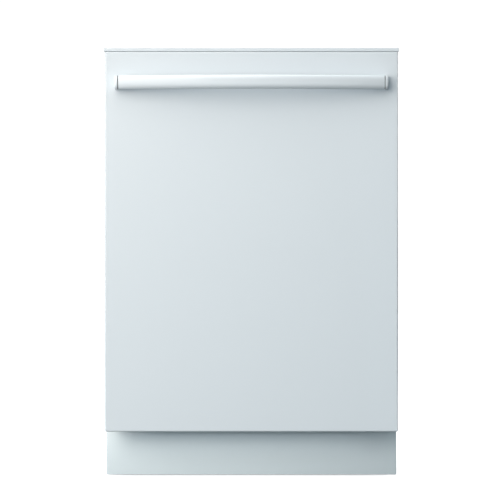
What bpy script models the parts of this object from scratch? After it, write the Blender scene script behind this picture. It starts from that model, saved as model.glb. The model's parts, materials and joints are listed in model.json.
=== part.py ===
"""A built-in dishwasher in its closed, resting state, as separate named pieces.

Metres, +Z up, the front faces -Y, the feet stand on z = 0 and the centre of its
footprint is the origin. Every moving piece hangs from an empty on its own axis.
"""

import math

import bmesh
import bpy
from mathutils import Matrix, Vector

WIDTH = 0.598
HEIGHT = 0.872
Y_BACK = 0.3245
Y_DOOR = -0.2785
Y_LINER = -0.2265
GAP = 0.0003

DOOR_HALF = 0.297
DOOR_LOW, DOOR_HIGH = 0.094, 0.8645
SHEET = 0.001
HINGE_Y, HINGE_Z = -0.2525, 0.122

TUB_HALF = 0.2785
TUB_FLOOR, TUB_TOP = 0.140, 0.8485
TUB_WALL = 0.0015
LEDGE_Z, LEDGE_X = 0.152, 0.238
TUB_FRONT, TUB_BACK = -0.2145, 0.310
ARM_Y = 0.040

STRIP_LOW = 0.8648
TROUGH_Z = 0.869
BUTTON_Y = -0.255
BUTTON_SIZE = (0.020, 0.009)
BUTTONS = {
    "power_button": -0.24,
    "program_button_1": -0.12,
    "program_button_2": -0.09,
    "program_button_3": -0.06,
    "start_button": 0.20,
}

HANDLE_Z = 0.8012
HANDLE_HIGH, HANDLE_DEEP = 0.0286, 0.018
HANDLE_HALF = 0.2712
HANDLE_REACH, HANDLE_BOW = 0.046, 0.024
CAP_THICK = 0.0048

LOWER_FLOOR, LOWER_RIM = 0.200, 0.335
LOWER_HALF, LOWER_FRONT, LOWER_BACK = 0.235, -0.190, 0.262
UPPER_FLOOR, UPPER_RIM = 0.512, 0.630
UPPER_HALF, UPPER_FRONT, UPPER_BACK = 0.240, -0.185, 0.235
WIRE = 0.0035
RAIL_Z = 0.590
WHEEL_R, WHEEL_X = 0.018, 0.252
WHEEL_Z = LEDGE_Z + WHEEL_R + GAP
WHEEL_Y = {"front": -0.10, "rear": 0.20}

FEET = {
    "front_left_foot": (-0.235, -0.16),
    "front_right_foot": (0.235, -0.16),
    "rear_foot": (0.0, 0.28),
}

FINISHES = {
    "enamel": ((0.80, 0.84, 0.87), 0.30, 0.0),
    "stainless": ((0.62, 0.63, 0.64), 0.28, 1.0),
    "galvanised": ((0.50, 0.52, 0.54), 0.45, 1.0),
    "wire": ((0.62, 0.66, 0.70), 0.40, 0.0),
    "grey_plastic": ((0.45, 0.47, 0.49), 0.45, 0.0),
    "white_plastic": ((0.78, 0.80, 0.82), 0.40, 0.0),
    "dark_plastic": ((0.06, 0.065, 0.07), 0.50, 0.0),
    "rubber": ((0.10, 0.10, 0.105), 0.75, 0.0),
    "felt": ((0.16, 0.16, 0.17), 0.95, 0.0),
    "glass": ((0.02, 0.025, 0.03), 0.08, 0.0),
}


def new_collection(name):
    collection = bpy.data.collections.new(name)
    bpy.context.scene.collection.children.link(collection)
    return collection


for thing in list(bpy.data.objects):
    bpy.data.objects.remove(thing, do_unlink=True)
PARTS = new_collection("built_in_dishwasher")
CUTTERS = new_collection("cutters")
CUTTERS.hide_render = True


# Finishes and modifiers


def add(name, data, finish):
    """An object of this data, in the parts, or in the cutters when it has no finish."""
    obj = bpy.data.objects.new(name, data)
    if not finish:
        CUTTERS.objects.link(obj)
        obj.hide_render = True
        obj.display_type = "WIRE"
        return obj
    PARTS.objects.link(obj)
    colour, roughness, metallic = FINISHES[finish]
    made = bpy.data.materials.new(name + "_" + finish)
    made.use_nodes = True
    inputs = made.node_tree.nodes["Principled BSDF"].inputs
    inputs["Base Color"].default_value = (*colour, 1.0)
    inputs["Roughness"].default_value = roughness
    inputs["Metallic"].default_value = metallic
    data.materials.append(made)
    return obj


def bevel(obj, width, segments=2, angle=0.6):
    modifier = obj.modifiers.new("edge rounding", "BEVEL")
    modifier.width = width
    modifier.segments = segments
    modifier.limit_method = "ANGLE"
    modifier.angle_limit = angle
    return obj


def thicken(obj, wall):
    """A sheet of this thickness, grown inwards from the surface."""
    modifier = obj.modifiers.new("sheet", "SOLIDIFY")
    modifier.thickness = wall
    modifier.offset = -1
    modifier.use_even_offset = True
    return obj


def as_mesh(obj):
    """The object with its modifiers made real, so that it can take part in a Boolean."""
    bpy.context.view_layer.update()
    graph = bpy.context.evaluated_depsgraph_get()
    mesh = bpy.data.meshes.new_from_object(obj.evaluated_get(graph))
    shape = bmesh.new()
    shape.from_mesh(mesh)
    bmesh.ops.remove_doubles(shape, verts=shape.verts, dist=1e-6)
    bmesh.ops.recalc_face_normals(shape, faces=shape.faces)
    shape.transform(obj.matrix_world)
    shape.to_mesh(mesh)
    shape.free()
    name, home, made = obj.name, obj.users_collection[0], list(obj.data.materials)
    bpy.data.objects.remove(obj, do_unlink=True)
    mesh.materials.clear()
    for material in made:
        mesh.materials.append(material)
    solid = bpy.data.objects.new(name, mesh)
    home.objects.link(solid)
    if home is CUTTERS:
        solid.hide_render = True
        solid.display_type = "WIRE"
    return solid


def combine(obj, others, operation):
    """Cuts or joins the others in one exact Boolean."""
    obj = as_mesh(obj)
    tools = bpy.data.collections.new(obj.name + " tools")
    CUTTERS.children.link(tools)
    for other in others:
        tool = as_mesh(other)
        CUTTERS.objects.unlink(tool)
        tools.objects.link(tool)
    modifier = obj.modifiers.new(operation.lower(), "BOOLEAN")
    modifier.operation = operation
    modifier.operand_type = "COLLECTION"
    modifier.collection = tools
    modifier.solver = "EXACT"
    return as_mesh(obj)


def cut(obj, *others):
    return combine(obj, others, "DIFFERENCE")


def join(obj, *others):
    return combine(obj, others, "UNION")


def smooth(obj, angle=0.7):
    """Shades the round faces smooth and keeps the edges sharp."""
    obj = as_mesh(obj)
    shape = bmesh.new()
    shape.from_mesh(obj.data)
    for face in shape.faces:
        face.smooth = True
    for edge in shape.edges:
        edge.smooth = edge.is_manifold and edge.calc_face_angle(0.0) < angle
    shape.to_mesh(obj.data)
    shape.free()
    return obj


# Outlines, as lists of two coordinates


def rectangle(low, high):
    return [(low[0], low[1]), (high[0], low[1]), (high[0], high[1]), (low[0], high[1])]


def circle(centre, radius, sides=24, start=0.0):
    turns = [start + 2 * math.pi * i / sides for i in range(sides)]
    return [(centre[0] + radius * math.cos(t), centre[1] + radius * math.sin(t)) for t in turns]


def rounded(low, high, radius, steps=3):
    """A rectangle with round corners, one arc for each."""
    corners = [
        ((high[0] - radius, low[1] + radius), -90),
        ((high[0] - radius, high[1] - radius), 0),
        ((low[0] + radius, high[1] - radius), 90),
        ((low[0] + radius, low[1] + radius), 180),
    ]
    points = []
    for (x, y), start in corners:
        for i in range(steps + 1):
            turn = math.radians(start + 90 * i / steps)
            points.append((x + radius * math.cos(turn), y + radius * math.sin(turn)))
    return points


# Shapes


def box(name, low, high, finish=None, rounding=0.0, segments=2):
    low, high = Vector(low), Vector(high)
    mesh = bpy.data.meshes.new(name)
    shape = bmesh.new()
    bmesh.ops.create_cube(shape, size=1.0)
    for corner in shape.verts:
        corner.co = (low + high) / 2 + corner.co * (high - low)
    shape.to_mesh(mesh)
    shape.free()
    obj = add(name, mesh, finish)
    return bevel(obj, rounding, segments) if rounding else obj


def cylinder(name, start, end, radius, finish=None, sides=24, end_radius=None):
    start, end = Vector(start), Vector(end)
    mesh = bpy.data.meshes.new(name)
    shape = bmesh.new()
    far = radius if end_radius is None else end_radius
    bmesh.ops.create_cone(
        shape, cap_ends=True, segments=sides, radius1=radius, radius2=far, depth=(end - start).length
    )
    turn = (end - start).to_track_quat("Z", "Y").to_matrix().to_4x4()
    shape.transform(Matrix.Translation((start + end) / 2) @ turn)
    shape.to_mesh(mesh)
    shape.free()
    return add(name, mesh, finish)


def pan(name, low, high, wall, opening, finish, rounding, segments=2):
    """A sheet pan: a box without the side that faces the opening direction."""
    low, high, opening = Vector(low), Vector(high), Vector(opening)
    mesh = bpy.data.meshes.new(name)
    shape = bmesh.new()
    bmesh.ops.create_cube(shape, size=1.0)
    shape.normal_update()
    lid = [face for face in shape.faces if face.normal.dot(opening) > 0.9]
    bmesh.ops.delete(shape, geom=lid, context="FACES")
    for corner in shape.verts:
        corner.co = (low + high) / 2 + corner.co * (high - low)
    folds = [edge for edge in shape.edges if not edge.is_boundary]
    bmesh.ops.bevel(shape, geom=folds, offset=rounding, segments=segments, profile=0.5, affect="EDGES")
    shape.to_mesh(mesh)
    shape.free()
    return thicken(add(name, mesh, finish), wall)


def turned(name, profile, centre, finish=None, axis="Z", sides=24):
    """A round solid. The profile runs from its top on the axis, outwards and down."""
    mesh = bpy.data.meshes.new(name)
    points = [(radius, 0.0, height) for radius, height in profile]
    mesh.from_pydata(points, [(i, i + 1) for i in range(len(points) - 1)], [])
    obj = add(name, mesh, finish)
    obj.location = centre
    obj.rotation_euler = {"Z": (0, 0, 0), "Y": (-math.pi / 2, 0, 0), "X": (0, math.pi / 2, 0)}[axis]
    spin = obj.modifiers.new("turning", "SCREW")
    spin.steps = spin.render_steps = sides
    spin.use_merge_vertices = True
    spin.merge_threshold = 0.0001
    return obj


def plate(name, outlines, plane, middle, thickness, finish=None):
    """A flat sheet. The outlines after the first that lie inside it are its holes."""
    curve = bpy.data.curves.new(name, "CURVE")
    curve.dimensions = "2D"
    curve.fill_mode = "BOTH"
    curve.extrude = thickness / 2
    for outline in outlines:
        spline = curve.splines.new("POLY")
        spline.points.add(len(outline) - 1)
        for point, (u, v) in zip(spline.points, outline):
            point.co = (u, v, 0.0, 1.0)
        spline.use_cyclic_u = True
    obj = add(name, curve, finish)
    half = math.pi / 2
    obj.rotation_euler = {"XY": (0, 0, 0), "XZ": (half, 0, 0), "YZ": (half, 0, half)}[plane]
    obj.location = {"XY": (0, 0, middle), "XZ": (0, middle, 0), "YZ": (middle, 0, 0)}[plane]
    return obj


def tube(name, points, radius, finish=None, resolution=1, closed=False):
    curve = bpy.data.curves.new(name, "CURVE")
    curve.dimensions = "3D"
    curve.bevel_depth = radius
    curve.bevel_resolution = resolution
    curve.use_fill_caps = True
    spline = curve.splines.new("POLY")
    spline.points.add(len(points) - 1)
    for point, place in zip(spline.points, points):
        point.co = (*place, 1.0)
    spline.use_cyclic_u = closed
    return add(name, curve, finish)


def shell(name, rings, finish):
    """An open skin through the rings, with the last one filled. Its normals face inwards."""
    mesh = bpy.data.meshes.new(name)
    shape = bmesh.new()
    rows = [[shape.verts.new(point) for point in ring] for ring in rings]
    count = len(rows[0])
    for near, far in zip(rows, rows[1:]):
        for i in range(count):
            j = (i + 1) % count
            shape.faces.new((near[i], near[j], far[j], far[i]))
    shape.faces.new(rows[-1])
    shape.to_mesh(mesh)
    shape.free()
    return add(name, mesh, finish)


# The door


def door_outer_panel():
    low = (-DOOR_HALF, Y_DOOR, DOOR_LOW)
    high = (DOOR_HALF, Y_DOOR + 0.014, DOOR_HIGH)
    return pan("door_outer_panel", low, high, SHEET, (0, 1, 0), "enamel", 0.002, 3)


def door_inner_liner():
    low, high = (-0.288, -0.2635, 0.134), (0.288, Y_LINER, 0.8640)
    liner = pan("door_inner_liner", low, high, SHEET, (0, -1, 0), "stainless", 0.005, 2)
    window = box("dispenser window", (-0.0955, -0.24, 0.3495), (0.0955, -0.22, 0.4505))
    return cut(liner, window)


def control_strip():
    """The top edge of the door, with a trough that holds the buttons and the display."""
    low, high = (-WIDTH / 2, Y_DOOR - 0.0005, STRIP_LOW), (WIDTH / 2, Y_LINER, HEIGHT)
    strip = box("control_strip", low, high, "enamel", 0.0012, 2)
    tools = [box("trough", (-0.28, -0.270, TROUGH_Z), (0.28, -0.240, HEIGHT + 0.01))]
    tools.append(box("display recess", (-0.0004, -0.2624, 0.8674), (0.0804, -0.2476, HEIGHT)))
    for name, x in BUTTONS.items():
        wide, deep = BUTTON_SIZE[0] / 2 + 0.0004, BUTTON_SIZE[1] / 2 + 0.0004
        low, high = (x - wide, BUTTON_Y - deep, 0.86), (x + wide, BUTTON_Y + deep, HEIGHT)
        tools.append(box(name + " well", low, high))
    return cut(strip, *tools)


def buttons():
    made = []
    for name, x in BUTTONS.items():
        wide, deep = BUTTON_SIZE[0] / 2, BUTTON_SIZE[1] / 2
        low, high = (x - wide, BUTTON_Y - deep, 0.8664), (x + wide, BUTTON_Y + deep, 0.8712)
        made.append(box(name, low, high, "grey_plastic", 0.0006))
    return made


def display_window():
    return box("display_window", (0, -0.262, 0.8677), (0.080, -0.248, TROUGH_Z), "glass")


def handle_section():
    """A flattened oval, as (depth, height) about the centre of the bar."""
    points = []
    for i in range(20):
        turn = 2 * math.pi * i / 20
        c, s = math.cos(turn), math.sin(turn)
        u = math.copysign(abs(c) ** 0.8, c) * HANDLE_DEEP / 2
        points.append((u, math.copysign(abs(s) ** 0.8, s) * HANDLE_HIGH / 2))
    return points


def handle_centre(x):
    """The bar's centre bows away from the door towards the middle."""
    end = Y_DOOR - HANDLE_REACH + HANDLE_DEEP / 2 + HANDLE_BOW
    return end - HANDLE_BOW * (1 - (x / HANDLE_HALF) ** 2)


def handle_bar():
    mesh = bpy.data.meshes.new("handle_bar")
    shape = bmesh.new()
    rows = []
    for i in range(19):
        x = HANDLE_HALF * (2 * i / 18 - 1)
        y = handle_centre(x)
        rows.append([shape.verts.new((x, y + u, HANDLE_Z + v)) for u, v in handle_section()])
    for near, far in zip(rows, rows[1:]):
        for a in range(len(near)):
            b = (a + 1) % len(near)
            shape.faces.new((near[a], near[b], far[b], far[a]))
    shape.faces.new(rows[0])
    shape.faces.new(rows[-1])
    bmesh.ops.recalc_face_normals(shape, faces=shape.faces)
    shape.to_mesh(mesh)
    shape.free()
    return smooth(add("handle_bar", mesh, "enamel"))


def handle_cap(name, side):
    """The end block that carries the bar, with a foot on the door behind the bar."""
    y = handle_centre(HANDLE_HALF)
    back = Y_DOOR - GAP
    front = [(y + u, HANDLE_Z + v) for u, v in handle_section() if u < 0.0]
    half = HANDLE_HIGH / 2
    outline = front + [(back, HANDLE_Z - half), (back, HANDLE_Z + half)]
    inner = HANDLE_HALF + GAP
    cap = plate(name, [outline], "YZ", side * (inner + CAP_THICK / 2), CAP_THICK, "enamel")
    ends = sorted((side * 0.245, side * (inner + 0.002)))
    foot = box("foot", (ends[0], back - 0.0034, HANDLE_Z - 0.012), (ends[1], back, HANDLE_Z + 0.012))
    return smooth(join(cap, foot))


def hinge_arm(name, side):
    """A strap up the edge of the door, with the hinge eye at its lower end."""
    outline = [(-0.2625, HINGE_Z), (-0.262, 0.350), (-0.258, 0.355), (-0.244, 0.355), (-0.240, 0.350)]
    outline += [(-0.240, HINGE_Z + 0.016)]
    for degrees in range(30, -181, -30):
        turn = math.radians(degrees)
        outline.append((HINGE_Y + 0.010 * math.cos(turn), HINGE_Z + 0.010 * math.sin(turn)))
    outline = outline[1:]
    eye = circle((HINGE_Y, HINGE_Z), 0.0043, 20)
    return plate(name, [outline, eye], "YZ", side * 0.2915, 0.003, "galvanised")


def door_latch():
    backing = box("door_latch", (-0.020, -0.2262, 0.8572), (0.020, -0.2240, 0.8638), "grey_plastic")
    hook = box("hook", (-0.006, -0.2250, 0.8595), (0.006, -0.2030, 0.8630))
    barb = box("barb", (-0.006, -0.2070, 0.8580), (0.006, -0.2035, 0.8622))
    return join(backing, hook, barb)


def dispenser_body():
    """The detergent cup and the rinse aid tank in one moulding, set into the liner."""
    face = box("dispenser_body", (-0.100, Y_LINER + GAP, 0.345), (0.100, Y_LINER + 0.004, 0.455),
               "grey_plastic", 0.001, 1)
    tank = box("tank", (-0.095, -0.261, 0.350), (0.095, Y_LINER + 0.002, 0.450))
    cup = box("cup", (-0.082, -0.250, 0.360), (-0.003, -0.20, 0.434))
    neck = cylinder("neck", (0.050, -0.252, 0.40), (0.050, -0.20, 0.40), 0.0185)
    return cut(join(face, tank), cup, neck)


def detergent_lid():
    y = Y_LINER + 0.004 + GAP
    lid = box("detergent_lid", (-0.086, y, 0.356), (0.0005, y + 0.003, 0.4395), "grey_plastic", 0.0008, 1)
    pin = cylinder("pin", (-0.080, y + 0.003, 0.4395), (-0.005, y + 0.003, 0.4395), 0.0026, None, 12)
    catch = box("catch", (-0.048, y + 0.001, 0.358), (-0.036, y + 0.006, 0.364))
    return join(lid, pin, catch)


def rinse_aid_cap():
    profile = [(0, 0.016), (0.008, 0.016), (0.008, 0.012), (0.0215, 0.012), (0.0225, 0.011)]
    profile += [(0.0225, 0.0083), (0.0178, 0.0083), (0.0178, 0), (0, 0)]
    cap = turned("rinse_aid_cap", profile, (0.050, -0.2305, 0.40), "dark_plastic", "Y", 24)
    grip = box("grip", (0.0325, -0.2195, 0.3975), (0.0675, -0.2155, 0.4025))
    return smooth(join(cap, grip))


# The cabinet


def tub_outline(grow=0.0, lowest=0.0):
    """The tub's cross-section, with ledges for the lower wheels, seen from the front."""
    half, top = TUB_HALF + grow, TUB_TOP + grow
    floor, ledge = TUB_FLOOR - grow, LEDGE_Z - grow
    foot, crown = 0.003 + max(grow, 0.0), 0.020 + grow
    side = [(LEDGE_X - 0.012, floor), (LEDGE_X, ledge)]
    for (x, z), radius, start in (
        ((half - foot, ledge + foot), foot, -90),
        ((half - crown, top - crown), crown, 0),
    ):
        for degrees in (0, 30, 60, 90):
            turn = math.radians(start + degrees)
            side.append((x + radius * math.cos(turn), z + radius * math.sin(turn)))
    points = side + [(-x, z) for x, z in reversed(side)]
    return [(x, max(z, lowest)) for x, z in points]


def tub():
    rings = [(0.008, -0.2160), (0.0, -0.2160), (0.0, TUB_BACK - 0.020), (-0.018, TUB_BACK)]
    rows = [[(x, y, z) for x, z in tub_outline(grow)] for grow, y in rings]
    skin = thicken(shell("tub", rows, "stainless"), TUB_WALL)
    sump = cylinder("sump hole", (0, ARM_Y, 0.11), (0, ARM_Y, 0.16), 0.119, None, 40)
    riser = cylinder("riser hole", (0, 0.297, 0.12), (0, 0.297, 0.17), 0.0092)
    return smooth(cut(skin, sump, riser), 0.8)


def front_frame():
    edge = rectangle((-DOOR_HALF, 0.1325), (DOOR_HALF, 0.868))
    slot = rectangle((-0.010, 0.8568), (0.010, 0.8662))
    mouth = tub_outline(0.0, 0.1515)
    return plate("front_frame", [edge, mouth, slot], "XZ", -0.2175, 0.002, "stainless")


def door_gasket():
    half, top, radius = 0.2835, 0.8525, 0.028
    points = [(-half, -0.2225, 0.170)]
    for side, start in ((-1, 180), (1, 90)):
        for degrees in (0, 22.5, 45, 67.5, 90):
            turn = math.radians(start - degrees)
            x = side * (half - radius) + radius * math.cos(turn)
            points.append((x, -0.2225, top - radius + radius * math.sin(turn)))
    points.append((half, -0.2225, 0.170))
    return tube("door_gasket", points, 0.0037, "rubber", 1)


def base_pan():
    """The moulded base that carries the tub, the pumps and the feet."""
    low, high = (-0.2867, -0.200, 0.016), (0.2867, Y_BACK, 0.1375)
    base = pan("base_pan", low, high, 0.003, (0, 0, 1), "dark_plastic", 0.006, 2)
    extra = [box("rib", (-0.285, y - 0.0015, 0.0175), (0.285, y + 0.0015, 0.1374)) for y in (-0.10, 0.25)]
    for x in (-0.2, 0.2):
        extra.append(box("lug", (x - 0.012, -0.2150, 0.040), (x + 0.012, -0.198, 0.060)))
    holes = [cylinder("stem hole", (x, y, 0.0), (x, y, 0.03), 0.0056, None, 16) for x, y in FEET.values()]
    return cut(join(base, *extra), *holes)


def side_post(name, side):
    """The upright beside the tub. Its ear reaches forward and carries the door's pivot pin."""
    outline = [(-0.2162, 0.116), (-0.2162, 0.104), (-0.172, 0.104), (-0.172, 0.862), (-0.2162, 0.862)]
    outline += [(-0.2162, 0.130)]
    for degrees in range(60, 301, 30):
        turn = math.radians(degrees)
        outline.append((HINGE_Y + 0.009 * math.cos(turn), HINGE_Z + 0.009 * math.sin(turn)))
    web = plate(name, [outline], "YZ", side * 0.288, 0.002, "galvanised")
    ends = sorted((side * 0.2875, side * DOOR_HALF))
    flange = box("flange", (ends[0], -0.2160, 0.106), (ends[1], -0.2147, 0.861))
    pin = cylinder("pin", (side * 0.288, HINGE_Y, HINGE_Z), (side * 0.2945, HINGE_Y, HINGE_Z), 0.004)
    return join(web, flange, pin)


def toe_kick_panel():
    low, high = (-DOOR_HALF, -0.2165, 0.002), (DOOR_HALF, -0.2025, 0.100)
    return pan("toe_kick_panel", low, high, 0.0012, (0, 1, 0), "enamel", 0.0018, 2)


def insulation_blanket():
    """A felt wrap over the tub's back, sides and top, open at the front and below."""
    blanket = box("insulation_blanket", (-0.2905, -0.165, 0.165), (0.2905, 0.3205, 0.860), "felt", 0.004, 2)
    hollow = box("hollow", (-0.2808, -0.30, 0.10), (0.2808, 0.3122, 0.8508))
    return cut(blanket, hollow)


def mounting_bracket(name, x):
    tab = box(name, (x - 0.015, -0.2162, 0.8684), (x + 0.015, -0.180, 0.8699), "galvanised")
    leg = box("leg", (x - 0.0148, -0.2161, 0.8600), (x + 0.0148, -0.2147, 0.8690))
    hole = cylinder("hole", (x, -0.192, 0.85), (x, -0.192, 0.88), 0.0025, None, 16)
    return cut(join(tab, leg), hole)


def sump_housing():
    """The bowl under the tub, with the post that carries the lower spray arm."""
    profile = [(0, 0.1745), (0.010, 0.1745), (0.010, 0.1600), (0.018, 0.1600), (0.018, 0.072)]
    profile += [(0.106, 0.072), (0.116, 0.1382), (0.124, 0.1382), (0.124, 0.1362)]
    profile += [(0.1185, 0.1362), (0.109, 0.0670), (0, 0.0670)]
    return smooth(turned("sump_housing", profile, (0, ARM_Y, 0), "grey_plastic", "Z", 32))


def circulation_pump():
    profile = [(0, 0.130), (0.030, 0.130), (0.036, 0.124), (0.036, 0.050), (0.044, 0.046)]
    profile += [(0.044, 0.006), (0.040, 0), (0, 0)]
    pump = turned("circulation_pump", profile, (-0.256, ARM_Y, 0.066), "dark_plastic", "X", 24)
    neck = cylinder("neck", (-0.14, ARM_Y, 0.072), (-0.1165, ARM_Y, 0.072), 0.014, None, 16)
    outlet = cylinder("outlet", (-0.22, ARM_Y, 0.09), (-0.22, ARM_Y, 0.125), 0.011, None, 16)
    return smooth(join(pump, neck, outlet))


def drain_pump():
    profile = [(0, 0.095), (0.020, 0.095), (0.020, 0.070), (0.028, 0.066), (0.028, 0.0193), (0, 0.0193)]
    pump = turned("drain_pump", profile, (0.155, -0.030, 0), "grey_plastic", "Z", 20)
    outlet = cylinder("outlet", (0.170, -0.030, 0.045), (0.205, -0.030, 0.045), 0.009, None, 12)
    return smooth(join(pump, outlet))


def inlet_valve():
    body = box("inlet_valve", (-0.215, -0.190, 0.0193), (-0.165, -0.150, 0.055), "white_plastic", 0.002)
    thread = cylinder("thread", (-0.19, -0.155, 0.040), (-0.19, -0.128, 0.040), 0.011, None, 16)
    coil = cylinder("coil", (-0.19, -0.170, 0.050), (-0.19, -0.170, 0.075), 0.013, None, 16)
    return smooth(join(body, thread, coil))


def junction_box():
    case = box("junction_box", (0.13, -0.190, 0.0193), (0.21, -0.130, 0.070), "galvanised", 0.0015)
    gland = cylinder("gland", (0.17, -0.135, 0.045), (0.17, -0.118, 0.045), 0.010, None, 16)
    bore = cylinder("bore", (0.17, -0.125, 0.045), (0.17, -0.110, 0.045), 0.006, None, 16)
    return cut(join(case, gland), bore)


def feed_pipe():
    """The riser behind the racks, its port for the upper rack, and the top arm's post."""
    points = [(0, 0.297, 0.085), (0, 0.297, 0.816), (0, 0.293, 0.828), (0, 0.284, 0.8365)]
    points += [(0, 0.272, 0.8395), (0, 0.040, 0.8395)]
    pipe = tube("feed_pipe", points, 0.008, "grey_plastic", 3)
    port = cylinder("port", (0, 0.297, 0.5015), (0, 0.2572, 0.5015), 0.0105, None, 16)
    profile = [(0, 0.842), (0.0100, 0.842), (0.0100, 0.8270), (0.006, 0.8265), (0.006, 0.8115)]
    profile += [(0.010, 0.8115), (0.010, 0.8085), (0, 0.8085)]
    post = turned("post", profile, (0, ARM_Y, 0), None, "Z", 20)
    return smooth(join(pipe, port, post))


def rail_channel(name, side):
    """A rolled steel channel on the tub wall, open towards the rack."""
    half = [(0.2778, 0.0120), (0.2660, 0.0120), (0.2660, 0.0070), (0.2672, 0.0070)]
    half += [(0.2672, 0.0105), (0.2763, 0.0105)]
    outline = [(side * x, RAIL_Z + z) for x, z in half]
    outline += [(side * x, RAIL_Z - z) for x, z in reversed(half)]
    return plate(name, [outline], "XZ", 0.0325, 0.475, "stainless")


def fine_filter():
    rim = circle((0, ARM_Y), 0.114, 40)
    hub, cup = circle((0, ARM_Y), 0.0185, 20), circle((0.062, ARM_Y), 0.0306, 24)
    return plate("fine_filter", [rim, hub, cup], "XY", 0.136, 0.002, "stainless")


def filter_cup():
    profile = [(0, 0.1475), (0.0255, 0.1475), (0.0290, 0.1450), (0.0320, 0.1400), (0.0320, 0.1373)]
    profile += [(0.0300, 0.1373), (0.0300, 0.090), (0.028, 0.085), (0, 0.085)]
    cup = turned("filter_cup", profile, (0.062, ARM_Y, 0), "grey_plastic", "Z", 24)
    grip = box("grip", (0.038, ARM_Y - 0.0025, 0.145), (0.086, ARM_Y + 0.0025, 0.1565))
    return smooth(join(cup, grip))


def foot(name, x, y):
    profile = [(0, 0.060), (0.004, 0.060), (0.005, 0.059), (0.005, 0.0125), (0.009, 0.0125)]
    profile += [(0.009, 0.008), (0.016, 0.0075), (0.018, 0.005), (0.018, 0), (0, 0)]
    return smooth(turned(name, profile, (x, y, 0), "dark_plastic", "Z", 16))


# The racks and what they carry


def wire_basket(name, half, front, back, floor, rises, cells, finish, flare=0.0):
    """A wire cage: a grid floor and walls that rise through each of the given heights."""
    mesh = bpy.data.meshes.new(name)
    shape = bmesh.new()
    bmesh.ops.create_grid(shape, x_segments=cells[0], y_segments=cells[1], size=0.5)
    middle = (front + back) / 2
    for corner in shape.verts:
        corner.co = (corner.co.x * 2 * half, middle + corner.co.y * (back - front), floor)
    last = floor
    for height in rises:
        rim = [edge for edge in shape.edges if edge.is_boundary]
        raised = bmesh.ops.extrude_edge_only(shape, edges=rim)["geom"]
        grow = 1 + flare * (height - last)
        for corner in (item for item in raised if isinstance(item, bmesh.types.BMVert)):
            corner.co = (corner.co.x * grow, middle + (corner.co.y - middle) * grow, height)
        last = height
    bmesh.ops.recalc_face_normals(shape, faces=shape.faces)
    shape.to_mesh(mesh)
    shape.free()
    cage = add(name, mesh, finish)
    wires = cage.modifiers.new("wires", "WIREFRAME")
    wires.thickness = WIRE
    wires.use_even_offset = True
    wires.use_boundary = True
    wires.use_replace = True
    return cage


def comb(name, plane, middle, span, low, height, count, finish=None, bar=0.0032, wide=0.0032):
    """A bar with a row of straight tines, as one flat piece."""
    pitch = (span[1] - span[0] - wide) / (count - 1)
    points = [(span[1], low), (span[1], low + bar)]
    for i in reversed(range(count)):
        u = span[0] + i * pitch
        if i < count - 1:
            points.append((u + wide, low + bar))
        points += [(u + wide * 0.9, low + height), (u + wide * 0.1, low + height)]
        if i > 0:
            points.append((u, low + bar))
    points.append((span[0], low))
    return plate(name, [points], plane, middle, 0.003, finish)


def tine_row(name, y):
    """Plate tines on a bar that folds forward about its own length."""
    return comb(name, "XZ", y, (-0.212, 0.212), 0.2049, 0.080, 9, "wire")


def clip(x, y, z, bore, axis):
    """A block with a bearing hole for a bar that turns in it."""
    reach = {"X": (0.003, 0.005, 0.0072), "Y": (0.0055, 0.004, 0.005)}[axis]
    centre, reach = Vector((x, y, z)), Vector(reach)
    block = box("clip", centre - reach, centre + reach)
    along = Vector({"X": (0.02, 0, 0), "Y": (0, 0.02, 0)}[axis])
    return cut(block, cylinder("bore", centre - along, centre + along, bore, None, 12))


def lower_rack():
    rises = (0.268, LOWER_RIM)
    cage = wire_basket("lower_rack", LOWER_HALF, LOWER_FRONT, LOWER_BACK, LOWER_FLOOR, rises, (8, 6), "wire")
    extra = [comb("tines", "XZ", y, (-0.214, 0.214), 0.1988, 0.075, 9) for y in (-0.085, 0.095)]
    for y in TINE_ROWS.values():
        extra += [clip(x, y, 0.2065, 0.0027, "X") for x in (-0.17625, 0.17625)]
    for side in (-1, 1):
        for y in WHEEL_Y.values():
            ends = sorted((side * 0.2318, side * 0.2443))
            extra.append(box("carrier", (ends[0], y - 0.015, 0.160), (ends[1], y + 0.015, 0.206)))
            axle = (side * 0.240, y, WHEEL_Z), (side * 0.2580, y, WHEEL_Z)
            extra.append(cylinder("axle", *axle, 0.003, None, 12))
            cap = (side * 0.2575, y, WHEEL_Z), (side * 0.2590, y, WHEEL_Z)
            extra.append(cylinder("cap", *cap, 0.006, None, 12))
    extra.append(box("grip", (-0.06, LOWER_FRONT - 0.009, 0.309), (0.06, LOWER_FRONT + 0.001, 0.333)))
    return join(cage, *extra)


def upper_rack():
    rises = (0.571, UPPER_RIM)
    cage = wire_basket("upper_rack", UPPER_HALF, UPPER_FRONT, UPPER_BACK, UPPER_FLOOR, rises, (8, 5), "wire")
    extra = [comb("tines", "YZ", x, (-0.175, 0.225), 0.5108, 0.048, 8) for x in (-0.09, 0.09)]
    for side in (-1, 1):
        ends = sorted((side * 0.2390, side * 0.2678))
        extra.append(box("hook", (ends[0], -0.020, 0.5855), (ends[1], 0.235, 0.5945)))
        extra += [clip(side * 0.2350, y, 0.610, 0.0030, "Y") for y in (-0.101, 0.151)]
    extra.append(box("grip", (-0.06, UPPER_FRONT - 0.009, 0.604), (0.06, UPPER_FRONT + 0.001, 0.628)))
    return join(cage, *extra)


def rail_slider(name, side):
    ends = sorted((side * 0.2682, side * 0.2755))
    return box(name, (ends[0], -0.190, RAIL_Z - 0.0085), (ends[1], 0.250, RAIL_Z + 0.0085), "galvanised")


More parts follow.
